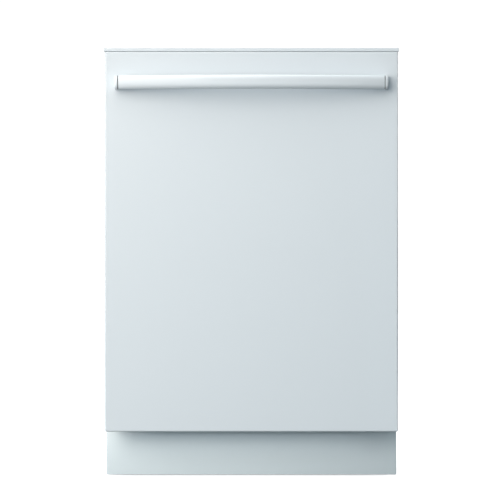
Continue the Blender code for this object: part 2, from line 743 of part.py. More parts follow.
def cup_shelf(name, side):
    """A grid that rests over the cups and folds up against the rack's side."""
    inner, outer = 0.120, 0.2350
    cage = bpy.data.meshes.new(name)
    shape = bmesh.new()
    bmesh.ops.create_grid(shape, x_segments=3, y_segments=5, size=0.5)
    for corner in shape.verts:
        x = side * ((inner + outer) / 2 + corner.co.x * (outer - inner))
        corner.co = (x, 0.025 + corner.co.y * 0.35, 0.610)
    bmesh.ops.recalc_face_normals(shape, faces=shape.faces)
    shape.to_mesh(cage)
    shape.free()
    obj = add(name, cage, "grey_plastic")
    wires = obj.modifiers.new("wires", "WIREFRAME")
    wires.thickness = 0.003
    wires.use_boundary = True
    wires.use_replace = True
    rod = cylinder("rod", (side * 0.235, -0.155, 0.610), (side * 0.235, 0.205, 0.610), 0.0024, None, 12)
    return join(obj, rod)


def wheel(name, side, y):
    bore, half = 0.0034, 0.005
    profile = [(bore, half), (0.0155, half), (WHEEL_R, half - 0.002), (WHEEL_R, 0.002 - half)]
    profile += [(0.0155, -half), (bore, -half)]
    centre = (side * WHEEL_X, y, WHEEL_Z)
    ring = turned(name, profile, centre, "white_plastic", "X", 20)
    loop = bmesh.new()
    loop.from_mesh(ring.data)
    loop.verts.ensure_lookup_table()
    loop.edges.new((loop.verts[-1], loop.verts[0]))
    loop.to_mesh(ring.data)
    loop.free()
    return smooth(ring)


def cutlery_basket():
    low, high = (-0.120, -0.183, 0.2025), (0.120, -0.118, 0.320)
    basket = box("cutlery_basket", low, high, "grey_plastic", 0.003, 2)
    hollows = []
    for i in range(6):
        left = -0.1176 + i * 0.0394
        hollows.append(box("cell", (left, -0.1806, 0.205), (left + 0.0378, -0.1204, 0.34)))
    basket = cut(basket, *hollows)
    rise = [(-0.1, 0.300), (0.1, 0.300), (0.1, 0.316), (0.03, 0.345), (-0.03, 0.345), (-0.1, 0.316)]
    grip = [(-0.028, 0.326), (0.028, 0.326), (0.028, 0.338), (-0.028, 0.338)]
    return join(basket, plate("handle", [rise, grip], "XZ", -0.1505, 0.003))


def arm_outline(reach, root, tip):
    """A two-bladed outline that narrows towards round ends, about ARM_Y."""
    points = []
    for end in (1, -1):
        for degrees in (-90, -50, -15, 15, 50, 90):
            turn = math.radians(degrees)
            x = end * (reach - tip + tip * math.cos(turn))
            points.append((x, ARM_Y + end * tip * math.sin(turn)))
        points.append((end * 0.02, ARM_Y + end * root))
        points.append((-end * 0.02, ARM_Y + end * root))
    return points


def spray_arm(name, reach, blade, hub, bore):
    """A flat water arm on a round hub. Its sizes are (low, high) and (radius, low, high)."""
    middle, thick = sum(blade) / 2, blade[1] - blade[0]
    outline = arm_outline(reach, 0.024, 0.014)
    arm = bevel(plate(name, [outline], "XY", middle, thick, "grey_plastic"), thick * 0.25, 1, 0.9)
    boss = cylinder("hub", (0, ARM_Y, hub[1]), (0, ARM_Y, hub[2]), hub[0], None, 24)
    jets = []
    for i, x in enumerate((0.45, 0.85)):
        for end in (-1, 1):
            place = (end * x * reach, ARM_Y + end * 0.004 * (i % 2))
            jets.append(box("jet", (place[0] - 0.004, place[1] - 0.0012, blade[1] - 0.0015),
                            (place[0] + 0.004, place[1] + 0.0012, blade[1] + 0.01)))
    hole = cylinder("bore", (0, ARM_Y, hub[1] - 0.01), (0, ARM_Y, hub[2] + 0.01), bore, None, 24)
    return smooth(cut(join(arm, boss), hole, *jets))


def upper_feed_tube():
    """The pipe under the upper rack, with the post and washer that hold its arm."""
    pipe = tube("upper_feed_tube", [(0, 0.2565, 0.5005), (0, 0.030, 0.5005)], 0.008, "grey_plastic", 3)
    profile = [(0, 0.503), (0.011, 0.503), (0.011, 0.4875), (0.007, 0.4870), (0.007, 0.4670)]
    profile += [(0.012, 0.4670), (0.012, 0.4640), (0, 0.4640)]
    post = turned("post", profile, (0, ARM_Y, 0), None, "Z", 20)
    holds = [box("hold", (-0.004, y - 0.004, 0.5005), (0.004, y + 0.004, 0.5097)) for y in (0.08, 0.20)]
    return smooth(join(pipe, post, *holds))


TINE_ROWS = {"front_tine_row": 0.005, "rear_tine_row": 0.205}


# The assembly: an empty on each joint's axis, with its pieces under it


def joint(name, place, pieces, parent=None):
    """An empty on a joint's axis. Its pieces keep their places as they hang from it."""
    empty = bpy.data.objects.new(name, None)
    empty.empty_display_size = 0.03
    empty.location = place
    PARTS.objects.link(empty)
    bpy.context.view_layer.update()
    if parent:
        empty.parent = parent
        empty.matrix_parent_inverse = parent.matrix_world.inverted()
        bpy.context.view_layer.update()
    for piece in pieces:
        piece.parent = empty
        piece.matrix_parent_inverse = empty.matrix_world.inverted()
    return empty


def build_cabinet():
    tub()
    front_frame()
    door_gasket()
    base_pan()
    toe_kick_panel()
    insulation_blanket()
    sump_housing()
    circulation_pump()
    drain_pump()
    inlet_valve()
    junction_box()
    feed_pipe()
    fine_filter()
    for name, side in (("left", -1), ("right", 1)):
        side_post(name + "_side_post", side)
        mounting_bracket(name + "_mounting_bracket", side * 0.220)
        rail_channel(name + "_rail_channel", side)
    for name, (x, y) in FEET.items():
        joint(name + "_slide", (x, y, 0), [foot(name, x, y)])
    joint("filter_cup_turn", (0.062, ARM_Y, 0.12), [filter_cup()])
    lower = spray_arm("lower_spray_arm", 0.225, (0.164, 0.174), (0.026, 0.1605, 0.178), 0.0106)
    joint("lower_spray_arm_spin", (0, ARM_Y, 0.169), [lower])
    top = spray_arm("top_spray_arm", 0.100, (0.814, 0.822), (0.015, 0.8120, 0.8260), 0.0065)
    joint("top_spray_arm_spin", (0, ARM_Y, 0.818), [top])


def build_door():
    pieces = [door_outer_panel(), door_inner_liner(), control_strip(), display_window(), handle_bar()]
    pieces += [door_latch(), dispenser_body()]
    for name, side in (("left", -1), ("right", 1)):
        pieces += [handle_cap("handle_" + name + "_cap", side), hinge_arm(name + "_hinge_arm", side)]
    door = joint("door_hinge", (0, HINGE_Y, HINGE_Z), pieces)
    joint("detergent_lid_hinge", (-0.0425, -0.2192, 0.4395), [detergent_lid()], door)
    joint("rinse_aid_cap_turn", (0.050, -0.2225, 0.40), [rinse_aid_cap()], door)
    for button in buttons():
        joint(button.name + "_push", (BUTTONS[button.name], BUTTON_Y, 0.8712), [button], door)


def build_upper_rack():
    rack = joint("upper_rack_slide", (0, 0, UPPER_FLOOR), [upper_rack(), upper_feed_tube()])
    arm = spray_arm("upper_spray_arm", 0.200, (0.4715, 0.4815), (0.020, 0.4675, 0.4860), 0.0075)
    joint("upper_spray_arm_spin", (0, ARM_Y, 0.477), [arm], rack)
    for name, side in (("left", -1), ("right", 1)):
        joint(name + "_rail_slide", (side * 0.272, 0, RAIL_Z), [rail_slider(name + "_rail_slider", side)])
        shelf = cup_shelf(name + "_cup_shelf", side)
        joint(name + "_cup_shelf_hinge", (side * 0.235, 0.025, 0.610), [shelf], rack)


def build_lower_rack():
    rack = joint("lower_rack_slide", (0, 0, LOWER_FLOOR), [lower_rack(), cutlery_basket()])
    for name, y in TINE_ROWS.items():
        joint(name + "_hinge", (0, y, 0.2065), [tine_row(name, y)], rack)
    for end, y in WHEEL_Y.items():
        for name, side in (("left", -1), ("right", 1)):
            title = end + "_" + name + "_wheel"
            joint(title + "_spin", (side * WHEEL_X, y, WHEEL_Z), [wheel(title, side, y)], rack)


build_cabinet()
build_door()
build_upper_rack()
build_lower_rack()
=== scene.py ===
"""The looks of the built-in dishwasher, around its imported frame.

Metres, +Z up, the front faces -Y. Each piece replaces or finishes named CAD nodes and
rides on a CAD body. Places come from the CAD nodes' boxes, or repeat the CAD's own sizes.
"""

import json
import math

import bmesh
import bpy
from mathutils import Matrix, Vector, noise

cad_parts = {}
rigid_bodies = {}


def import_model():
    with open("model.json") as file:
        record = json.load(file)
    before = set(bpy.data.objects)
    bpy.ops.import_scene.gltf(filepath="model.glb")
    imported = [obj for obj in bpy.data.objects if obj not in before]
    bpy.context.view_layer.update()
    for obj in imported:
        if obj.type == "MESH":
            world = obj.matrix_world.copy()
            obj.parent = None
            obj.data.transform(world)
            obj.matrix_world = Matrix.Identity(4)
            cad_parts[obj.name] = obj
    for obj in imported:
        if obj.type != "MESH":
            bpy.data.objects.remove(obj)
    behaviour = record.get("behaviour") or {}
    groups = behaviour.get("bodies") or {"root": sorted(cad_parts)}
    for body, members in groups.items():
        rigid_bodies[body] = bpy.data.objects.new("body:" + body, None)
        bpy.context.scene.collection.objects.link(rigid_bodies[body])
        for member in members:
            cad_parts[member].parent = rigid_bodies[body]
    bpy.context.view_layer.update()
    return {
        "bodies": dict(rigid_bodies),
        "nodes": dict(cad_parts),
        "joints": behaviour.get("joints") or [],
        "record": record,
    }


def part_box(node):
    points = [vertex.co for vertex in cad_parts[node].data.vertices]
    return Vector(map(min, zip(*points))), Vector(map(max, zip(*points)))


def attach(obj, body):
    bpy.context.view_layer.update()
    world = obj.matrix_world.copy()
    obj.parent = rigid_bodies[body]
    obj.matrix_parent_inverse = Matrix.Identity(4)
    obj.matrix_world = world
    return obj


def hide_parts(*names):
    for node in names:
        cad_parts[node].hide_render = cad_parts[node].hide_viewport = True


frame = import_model()
NODES = frame["nodes"]
BODY_OF = {
    node: body
    for body, nodes in frame["record"]["behaviour"]["bodies"].items()
    for node in nodes
}
SLOT_OF = {part["node"]: part["material_slot"] for part in frame["record"]["subparts"]}

# The camera stands this far from the door's front, where its view is VIEW_WIDTH across
CAMERA_DISTANCE = 5.5
VIEW_WIDTH = 1.0132
CAMERA_X, CAMERA_Z = -0.0029, 0.4623

HANDS = ((-1, "left"), (1, "right"))


# Materials


def math_node(tree, operation, *values):
    """A math node's result, from numbers and other nodes' outputs."""
    node = tree.nodes.new("ShaderNodeMath")
    node.operation = operation
    for socket, value in zip(node.inputs, values):
        if isinstance(value, (int, float)):
            socket.default_value = value
        else:
            tree.links.new(value, socket)
    return node.outputs[0]


class Nodes:
    """A material's node tree, with short calls for the nodes that the finishes share."""

    def __init__(self, name):
        self.material = bpy.data.materials.new(name)
        self.material.use_nodes = True
        self.tree = self.material.node_tree
        self.shader = self.tree.nodes["Principled BSDF"]
        self.place = self.tree.nodes.new("ShaderNodeTexCoord").outputs["Object"]

    def link(self, out, socket):
        self.tree.links.new(out, socket)

    def scaled(self, scale):
        mapping = self.tree.nodes.new("ShaderNodeMapping")
        mapping.inputs["Scale"].default_value = scale
        self.link(self.place, mapping.inputs["Vector"])
        return mapping.outputs["Vector"]

    def noise(self, scale, detail=2.0, stretch=None, roughness=0.5):
        node = self.tree.nodes.new("ShaderNodeTexNoise")
        node.inputs["Scale"].default_value = scale
        node.inputs["Detail"].default_value = detail
        node.inputs["Roughness"].default_value = roughness
        self.link(self.scaled(stretch) if stretch else self.place, node.inputs["Vector"])
        return node.outputs["Fac"]

    def voronoi(self, scale):
        node = self.tree.nodes.new("ShaderNodeTexVoronoi")
        node.inputs["Scale"].default_value = scale
        self.link(self.place, node.inputs["Vector"])
        return node.outputs["Distance"]

    def math(self, operation, a, b):
        return math_node(self.tree, operation, a, b)

    def ranged(self, value, low, high, start=0.3, end=0.7):
        node = self.tree.nodes.new("ShaderNodeMapRange")
        sockets = ("From Min", "From Max", "To Min", "To Max")
        for socket, number in zip(sockets, (start, end, low, high)):
            node.inputs[socket].default_value = number
        self.link(value, node.inputs["Value"])
        return node.outputs["Result"]

    def mixed(self, factor, one, other):
        node = self.tree.nodes.new("ShaderNodeMix")
        node.data_type = "RGBA"
        for socket, value in (("Factor", factor), ("A", one), ("B", other)):
            found = [s for s in node.inputs if s.name == socket and s.enabled][-1]
            if isinstance(value, tuple):
                found.default_value = (*value, 1.0)
            else:
                self.link(value, found)
        return [s for s in node.outputs if s.enabled][0]

    def colour(self, value):
        self.link(value, self.shader.inputs["Base Color"])

    def roughness(self, value):
        self.link(value, self.shader.inputs["Roughness"])

    def bump(self, height, strength, distance):
        node = self.tree.nodes.new("ShaderNodeBump")
        node.inputs["Strength"].default_value = strength
        node.inputs["Distance"].default_value = distance
        self.link(height, node.inputs["Height"])
        self.link(node.outputs["Normal"], self.shader.inputs["Normal"])

    def fixed(self, socket, value):
        self.shader.inputs[socket].default_value = value


def shade(colour, factor):
    """A colour made darker or lighter, and never over white."""
    return tuple(min(1.0, part * factor) for part in colour)


def enamel(name="enamel_gloss", base=(0.718, 0.768, 0.808)):
    """Cool white baked enamel, with the faint orange peel of a sprayed sheet."""
    made = Nodes(name)
    made.colour(made.mixed(made.noise(1.6, 1.0), shade(base, 0.992), shade(base, 1.006)))
    made.roughness(made.ranged(made.noise(9.0, 1.0), 0.235, 0.265))
    made.bump(made.noise(420.0, 1.0), 0.012, 0.0003)
    made.fixed("Coat Weight", 0.35)
    made.fixed("Coat Roughness", 0.08)
    return made.material


def brushed(name, base, direction, low=0.22, high=0.42):
    """Steel sheet with long fine brush marks along one axis."""
    made = Nodes(name)
    stretch = {"X": (1.0, 90.0, 90.0), "Y": (90.0, 1.0, 90.0), "Z": (90.0, 90.0, 1.0)}[direction]
    marks = made.noise(9.0, 5.0, stretch, 0.65)
    made.colour(made.mixed(marks, shade(base, 0.86), shade(base, 1.12)))
    cloud = made.noise(5.0, 3.0)
    streaks = made.ranged(marks, low, high)
    made.roughness(made.math("ADD", streaks, made.ranged(cloud, -0.03, 0.05)))
    made.bump(marks, 0.10, 0.0006)
    made.fixed("Metallic", 1.0)
    return made.material


def galvanised():
    """Zinc plate, with its soft patches of crystal."""
    made = Nodes("galvanised_spangle")
    base = (0.50, 0.52, 0.54)
    grain = made.voronoi(150.0)
    made.colour(made.mixed(grain, shade(base, 0.82), shade(base, 1.15)))
    made.roughness(made.ranged(made.noise(60.0, 4.0), 0.34, 0.56))
    made.bump(made.noise(300.0, 3.0), 0.08, 0.0004)
    made.fixed("Metallic", 1.0)
    return made.material


def plastic(name, base, low, high, grain=900.0, strength=0.12):
    """A moulding with a fine spark-eroded grain and slight flow marks."""
    made = Nodes(name)
    made.colour(made.mixed(made.noise(14.0, 4.0), shade(base, 0.93), shade(base, 1.06)))
    made.roughness(made.ranged(made.noise(45.0, 4.0), low, high))
    made.bump(made.noise(grain, 2.0), strength, 0.0003)
    return made.material


def felt():
    """Matted grey fibres, with lighter flecks and a bitumen-dark ground."""
    made = Nodes("felt_fibre")
    fibre = made.noise(260.0, 9.0, (1.0, 3.2, 1.0), 0.75)
    cloud = made.noise(22.0, 6.0)
    ground = made.mixed(cloud, (0.105, 0.105, 0.112), (0.175, 0.172, 0.170))
    flecks = made.ranged(fibre, 0.0, 0.75, 0.45, 0.72)
    made.colour(made.mixed(flecks, ground, (0.34, 0.33, 0.325)))
    made.roughness(made.ranged(fibre, 0.86, 1.0))
    made.bump(made.math("ADD", fibre, made.math("MULTIPLY", cloud, 0.6)), 0.55, 0.0016)
    made.fixed("Sheen Weight", 0.35)
    made.fixed("Sheen Roughness", 0.6)
    return made.material


def rubber():
    """Black rubber, dulled in patches."""
    made = Nodes("rubber_seal")
    base = (0.05, 0.051, 0.054)
    made.colour(made.mixed(made.noise(90.0, 5.0), shade(base, 0.8), shade(base, 1.35)))
    made.roughness(made.ranged(made.noise(55.0, 3.0), 0.55, 0.75))
    made.bump(made.noise(700.0, 3.0), 0.15, 0.0003)
    return made.material


def nylon_wire():
    """Grey nylon dipped over wire: satin, with slight runs in the coat."""
    made = Nodes("nylon_coated_wire")
    base = (0.47, 0.50, 0.54)
    made.colour(made.mixed(made.noise(70.0, 4.0), shade(base, 0.90), shade(base, 1.08)))
    made.roughness(made.ranged(made.noise(120.0, 3.0), 0.28, 0.44))
    made.bump(made.noise(420.0, 3.0), 0.14, 0.0003)
    made.fixed("Coat Weight", 0.2)
    made.fixed("Coat Roughness", 0.2)
    return made.material


def display_glass():
    """Near black gloss, as a display shows when it is off."""
    made = Nodes("display_gloss")
    made.colour(made.mixed(made.noise(35.0, 3.0), (0.008, 0.010, 0.013), (0.018, 0.021, 0.026)))
    made.roughness(made.ranged(made.noise(180.0, 3.0), 0.04, 0.11))
    made.fixed("Coat Weight", 0.6)
    made.fixed("Coat Roughness", 0.03)
    return made.material


STEEL = (0.60, 0.61, 0.62)
FINISH = {
    "enamel": enamel(),
    # The toe kick's enamel is the door's enamel made about a fifth lighter: painted light that
    # makes up for the shade of its recess under the door.
    "enamel_lightened_for_recess_shade": enamel("enamel_toe_kick_lightened_for_shade", (0.85, 0.93, 0.96)),
    "stainless": brushed("stainless_brushed", STEEL, "Y"),
    "stainless_flat": brushed("stainless_brushed_across", STEEL, "X"),
    "galvanised": galvanised(),
    "wire": nylon_wire(),
    "grey_plastic": plastic("grey_moulding", (0.36, 0.38, 0.40), 0.36, 0.52),
    "pale_plastic": plastic("pale_grey_moulding", (0.58, 0.60, 0.62), 0.34, 0.48),
    "white_plastic": plastic("white_moulding", (0.74, 0.76, 0.78), 0.32, 0.46),
    "dark_plastic": plastic("black_moulding", (0.032, 0.034, 0.038), 0.42, 0.60, 600.0, 0.2),
    "rubber": rubber(),
    "felt": felt(),
    "glass": display_glass(),
}


def finish_cad_nodes():
    """Every CAD node takes the finish of its slot, so that none is ever plain."""
    for name, node in NODES.items():
        node.data.materials.clear()
        node.data.materials.append(FINISH[SLOT_OF[name]])


# The stage


def stage():
    """A pale flat floor, large enough to fill the view from any side."""
    half, just_below = 14.0, -0.0008
    mesh = bpy.data.meshes.new("floor")
    shape = bmesh.new()
    bmesh.ops.create_grid(shape, x_segments=1, y_segments=1, size=half)
    shape.to_mesh(mesh)
    shape.free()
    floor = bpy.data.objects.new("floor", mesh)
    bpy.context.scene.collection.objects.link(floor)
    floor.location = (0, 0, just_below)
    made = Nodes("floor_pale")
    made.colour(made.mixed(made.noise(0.8, 2.0), (0.93, 0.93, 0.93), (0.95, 0.95, 0.95)))
    made.fixed("Roughness", 0.7)
    made.fixed("Emission Color", (1.0, 1.0, 1.0, 1.0))
    made.fixed("Emission Strength", 0.72)
    floor.visible_diffuse = floor.visible_glossy = False
    floor.data.materials.append(made.material)


WHITE, WARM, COOL = (1.0, 1.0, 1.0), (1.0, 0.93, 0.86), (0.82, 0.94, 1.0)
DARKEST_ROOM = 0.02


def world(backdrop, strength, lift, side):
    """A white backdrop in the view. The object's own light comes from a room that is
    brighter overhead by lift, and on the left by side, than its mean strength."""
    studio = bpy.data.worlds.new("studio")
    bpy.context.scene.world = studio
    studio.use_nodes = True
    tree = studio.node_tree
    background = tree.nodes["Background"]
    place = tree.nodes.new("ShaderNodeTexCoord").outputs["Generated"]
    split = tree.nodes.new("ShaderNodeSeparateXYZ")
    tree.links.new(place, split.inputs[0])
    room = math_node(tree, "MULTIPLY_ADD", split.outputs["Z"], lift, strength)
    room = math_node(tree, "MULTIPLY_ADD", split.outputs["X"], -side, room)
    room = math_node(tree, "MAXIMUM", room, DARKEST_ROOM)
    seen = tree.nodes.new("ShaderNodeLightPath").outputs["Is Camera Ray"]
    span = tree.nodes.new("ShaderNodeMapRange")
    span.inputs["To Max"].default_value = backdrop
    tree.links.new(seen, span.inputs["Value"])
    tree.links.new(room, span.inputs["To Min"])
    tree.links.new(span.outputs["Result"], background.inputs["Strength"])
    tint = tree.nodes.new("ShaderNodeMix")
    tint.data_type = "RGBA"
    for socket, colour in zip([s for s in tint.inputs if s.type == "RGBA"], (COOL, WHITE)):
        socket.default_value = (*colour, 1.0)
    tree.links.new(seen, tint.inputs[0])
    tree.links.new([s for s in tint.outputs if s.type == "RGBA"][0], background.inputs["Color"])


def area_light(name, place, aim, size, power, colour=WHITE):
    light = bpy.data.lights.new(name, "AREA")
    light.shape = "RECTANGLE"
    light.size, light.size_y = size
    light.energy = power
    light.color = colour
    obj = bpy.data.objects.new(name, light)
    bpy.context.scene.collection.objects.link(obj)
    obj.location = place
    obj.rotation_euler = (Vector(aim) - Vector(place)).to_track_quat("-Z", "Y").to_euler()


def lights():
    """The front's soft gradient from the left and above, then light for the other sides."""
    world(1.05, 0.350, 0.23, 0.36)
    area_light("side", (-1.7, -3.0, 2.0), (-2.0, -0.28, 1.6), (2.4, 2.4), 37, WARM)
    area_light("left", (-2.4, -2.0, 1.4), (-0.3, -0.2, 0.6), (2.4, 2.4), 52, WARM)
    area_light("over", (-0.5, -1.2, 2.3), (-0.5, -0.28, 1.4), (1.2, 1.2), 10, WARM)
    area_light("fill", (0.0, -4.0, 0.25), (0.0, 0.0, 0.3), (3.0, 1.4), 19, COOL)
    area_light("top", (0.0, 0.9, 3.2), (0.0, 0.9, 0.0), (3.0, 3.0), 40)
    area_light("rear", (1.5, 3.2, 1.6), (0.0, 0.0, 0.5), (2.0, 2.0), 25)
    area_light("right", (3.4, 1.9, 1.3), (0.0, 0.0, 0.5), (1.6, 1.6), 45)


def camera():
    """Level and square to the door's front."""
    data = bpy.data.cameras.new("camera")
    data.sensor_width = 36.0
    data.lens = data.sensor_width * CAMERA_DISTANCE / VIEW_WIDTH
    data.clip_start, data.clip_end = 0.1, 60.0
    obj = bpy.data.objects.new("camera", data)
    bpy.context.scene.collection.objects.link(obj)
    door_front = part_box("door_outer_panel")[0].y
    obj.location = (CAMERA_X, door_front - CAMERA_DISTANCE, CAMERA_Z)
    obj.rotation_euler = (math.pi / 2, 0, 0)
    bpy.context.scene.camera = obj


# Pieces from the CAD meshes


# Radians: faces that bend less than FLAT_ANGLE join, and over SHARP_ANGLE an edge is sharp
FLAT_ANGLE, SHARP_ANGLE = 0.01, 0.6
WELD = 2e-6


def added(name, data, finish, node):
    """A new piece in the finish's material, riding on its node's body."""
    piece = bpy.data.objects.new(name, data)
    bpy.context.scene.collection.objects.link(piece)
    data.materials.append(FINISH[finish])
    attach(piece, BODY_OF[node])
    return piece


def shade_by_angle(shape, angle):
    """Smooth faces, with an edge sharp where it is open or bends by more than the angle."""
    for face in shape.faces:
        face.smooth = True
    for edge in shape.edges:
        edge.smooth = len(edge.link_faces) == 2 and edge.calc_face_angle(0.0) < angle


def as_mesh(shape, name, angle, outward=True):
    """The finished bmesh as a mesh, shaded by angle, and freed."""
    if outward:
        bmesh.ops.recalc_face_normals(shape, faces=shape.faces)
    shade_by_angle(shape, angle)
    mesh = bpy.data.meshes.new(name)
    shape.to_mesh(mesh)
    shape.free()
    return mesh


def skinned(shape, rows, round_rows, round_points):
    """Faces between neighbouring rows of vertices. Each direction may close on itself."""
    for near, far in zip(rows, rows[1:] + rows[:1] if round_rows else rows[1:]):
        count = len(near)
        for i in range(count if round_points else count - 1):
            j = (i + 1) % count
            shape.faces.new((near[i], near[j], far[j], far[i]))


def soften(piece, width, segments=2):
    """Small rounded edges that catch the light, with flat faces left flat."""
    bevel = piece.modifiers.new("edges", "BEVEL")
    bevel.width = width
    bevel.segments = segments
    bevel.limit_method = "ANGLE"
    bevel.angle_limit = SHARP_ANGLE
    bevel.use_clamp_overlap = True
    bevel.harden_normals = False
    piece.modifiers.new("face normals", "WEIGHTED_NORMAL").keep_sharp = True
    return piece


def refined(node, finish=None, edge=0.0004, segments=2):
    """A copy of a CAD node with whole faces, rounded edges and its own finish."""
    shape = bmesh.new()
    shape.from_mesh(NODES[node].data)
    bmesh.ops.remove_doubles(shape, verts=shape.verts, dist=WELD)
    bmesh.ops.dissolve_limit(
        shape, angle_limit=FLAT_ANGLE, verts=shape.verts, edges=shape.edges
    )
    name = node + "_finished"
    mesh = as_mesh(shape, name, SHARP_ANGLE, outward=False)
    piece = added(name, mesh, finish or SLOT_OF[node], node)
    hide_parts(node)
    return soften(piece, edge, segments) if edge else piece


def lofted(name, rings, finish, node, closed_ends=True, smooth_angle=0.7):
    """A skin through rings of the same number of points, filled at both ends."""
    shape = bmesh.new()
    rows = [[shape.verts.new(point) for point in ring] for ring in rings]
    skinned(shape, rows, round_rows=False, round_points=True)
    if closed_ends:
        shape.faces.new(rows[0])
        shape.faces.new(rows[-1])
    return added(name, as_mesh(shape, name, smooth_angle), finish, node)


def rounded_rectangle(low, high, radius, steps=6):
    """The corners' points in order round the rectangle, anticlockwise."""
    corners = (
        ((high[0] - radius, low[1] + radius), -90),
        ((high[0] - radius, high[1] - radius), 0),
        ((low[0] + radius, high[1] - radius), 90),
        ((low[0] + radius, low[1] + radius), 180),
    )
    points = []
    for (x, y), start in corners:
        for i in range(steps + 1):
            turn = math.radians(start + 90 * i / steps)
            points.append((x + radius * math.cos(turn), y + radius * math.sin(turn)))
    return points


# The door's front


def door_skin():
    """The enamelled front sheet: a folded pan with softly pressed edges."""
    low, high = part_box("door_outer_panel")
    fold, fold_steps, lip, wall = 0.0024, 8, 0.001, 0.001
    corner_radius, least_radius = 0.0032, 0.0006
    path = [(0.0, high.y), (0.0, low.y + fold)]
    for i in range(1, fold_steps + 1):
        turn = math.radians(90 * i / fold_steps)
        path.append((fold * (1 - math.cos(turn)), low.y + fold * (1 - math.sin(turn))))
    path.append((fold + lip, low.y))
    rings = []
    for inset, y in path:
        corner = max(corner_radius - inset, least_radius)
        outline = rounded_rectangle(
            (low.x + inset, low.z + inset), (high.x - inset, high.z - inset), corner
        )
        rings.append([(x, y, z) for x, z in outline])
    skin = lofted("door_skin", rings, "enamel", "door_outer_panel", closed_ends=False)
    shape = bmesh.new()
    shape.from_mesh(skin.data)
    open_edges = [edge for edge in shape.edges if edge.is_boundary]
    front = [edge for edge in open_edges if abs(edge.verts[0].co.y - low.y) < 1e-5]
    bmesh.ops.contextual_create(shape, geom=front)
    bmesh.ops.recalc_face_normals(shape, faces=shape.faces)
    if sum(face.normal.y * face.calc_area() for face in shape.faces) > 0:
        bmesh.ops.reverse_faces(shape, faces=shape.faces)
    shade_by_angle(shape, 0.9)
    shape.to_mesh(skin.data)
    shape.free()
    sheet = skin.modifiers.new("sheet", "SOLIDIFY")
    sheet.thickness, sheet.offset = wall, -1
    skin.modifiers.new("face normals", "WEIGHTED_NORMAL").keep_sharp = True
    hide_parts("door_outer_panel")


HANDLE_BOW = 0.024
BAR_GAP, CAP_THICKNESS = 0.0020, 0.0056
JOINT_START, JOINT_END = 0.0001, 0.0015
SECTION_POINTS, BAR_STEPS = 56, 64


def handle_section(depth, height):
    """A flattened oval about the bar's centre, as (depth, height) pairs."""
    points = []
    for i in range(SECTION_POINTS):
        turn = 2 * math.pi * i / SECTION_POINTS
        c, s = math.cos(turn), math.sin(turn)
        u = math.copysign(abs(c) ** 0.8, c) * depth / 2
        points.append((u, math.copysign(abs(s) ** 0.8, s) * height / 2))
    return points


def handle():
    """The bowed bar, its two end caps and the dark joints between them."""
    low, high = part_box("handle_bar")
    height, half, middle = high.z - low.z, high.x - BAR_GAP, (low.z + high.z) / 2
    depth = high.y - low.y - HANDLE_BOW
    end_y = high.y - depth / 2
    section = handle_section(depth, height)
    rings = []
    for i in range(BAR_STEPS + 1):
        x = half * (2 * i / BAR_STEPS - 1)
        y = end_y - HANDLE_BOW * (1 - (x / half) ** 2)
        rings.append([(x, y + u, middle + v) for u, v in section])
    bar = lofted("handle_bar_bowed", rings, "enamel", "handle_bar")
    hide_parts("handle_bar")
    for side, hand in HANDS:
        node = f"handle_{hand}_cap"
        handle_cap(side, node, end_y, depth, middle, height)
        rings = []
        for x in (half + JOINT_START, half + JOINT_END):
            rings.append([(side * x, end_y + u * 0.93, middle + v * 0.95) for u, v in section])
        lofted(node + "_joint", rings, "dark_plastic", node)


def handle_cap(side, node, y, depth, middle, height):
    """An end block as tall as the bar, rounded outside, with its foot on the door."""
    low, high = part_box(node)
    outer = high.x if side > 0 else -low.x
    inner, back, half = outer - CAP_THICKNESS, high.y, height / 2
    front = [(y + u, v) for u, v in handle_section(depth, height) if u < 1e-9]
    outline = front + [(back, -half), (back, half)]
    centre = (y + back) / 2
    stations = (
        (inner, 0.0004),
        (inner + 0.0004, 0.0),
        (outer - 0.0016, 0.0),
        (outer - 0.0008, 0.0003),
        (outer - 0.0002, 0.0009),
        (outer, 0.0017),
    )
    rings = []
    for x, shrink in stations:
        scale = 1 - shrink / (depth / 2)
        ring = []
        for u, v in outline:
            moved = back if u >= back - 1e-6 else centre + (u - centre) * scale
            ring.append((side * x, moved, middle + v * (1 - shrink / half)))
        rings.append(ring)
    cap = lofted(node + "_block", rings, "enamel", node, smooth_angle=0.9)
    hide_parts(node)
    foot_start, foot_centre, foot_half, foot_radius = 0.245, 0.26, 0.012, 0.004
    foot = rounded_rectangle((foot_start, -foot_half), (inner + 0.002, foot_half), foot_radius)
    rings = []
    for step, shrink in ((0.0, 0.0), (0.0026, 0.0), (0.0034, 0.0007)):
        narrower, shorter = 1 - shrink * 30, 1 - shrink * 50
        ring = []
        for x, z in foot:
            at = side * (foot_centre + (x - foot_centre) * narrower)
            ring.append((at, back - step, middle + z * shorter))
        rings.append(ring)
    lofted(node + "_foot", rings, "enamel", node)


def front_of_door():
    door_skin()
    handle()
    refined("control_strip", edge=0.0005, segments=3)
    # The toe kick takes the lightened enamel copy, painted light against the shade in its recess.
    refined("toe_kick_panel", "enamel_lightened_for_recess_shade", edge=0.0)
    for node in NODES:
        if node.endswith("_button") or node.startswith("program_button"):
            refined(node, "pale_plastic", edge=0.0)
    refined("display_window", edge=0.0003)


# The rest of the sheet metal, plastic and rubber


STAINLESS = (
    ("tub", "stainless"),
    ("door_inner_liner", "stainless_flat"),
    ("front_frame", "stainless_flat"),
    ("left_rail_channel", "stainless"),
    ("right_rail_channel", "stainless"),
)
GALVANISED = (
    "left_side_post", "right_side_post", "left_hinge_arm", "right_hinge_arm",
    "left_mounting_bracket", "right_mounting_bracket", "left_rail_slider",
    "right_rail_slider", "junction_box",
)
IN_SLOT_FINISH = (
    "dispenser_body", "detergent_lid", "sump_housing", "feed_pipe", "upper_feed_tube",
    "door_latch", "drain_pump", "filter_cup", "rinse_aid_cap", "circulation_pump",
    "inlet_valve", "base_pan", "front_left_foot", "front_right_foot", "rear_foot",
    "door_gasket", "fine_filter",
)


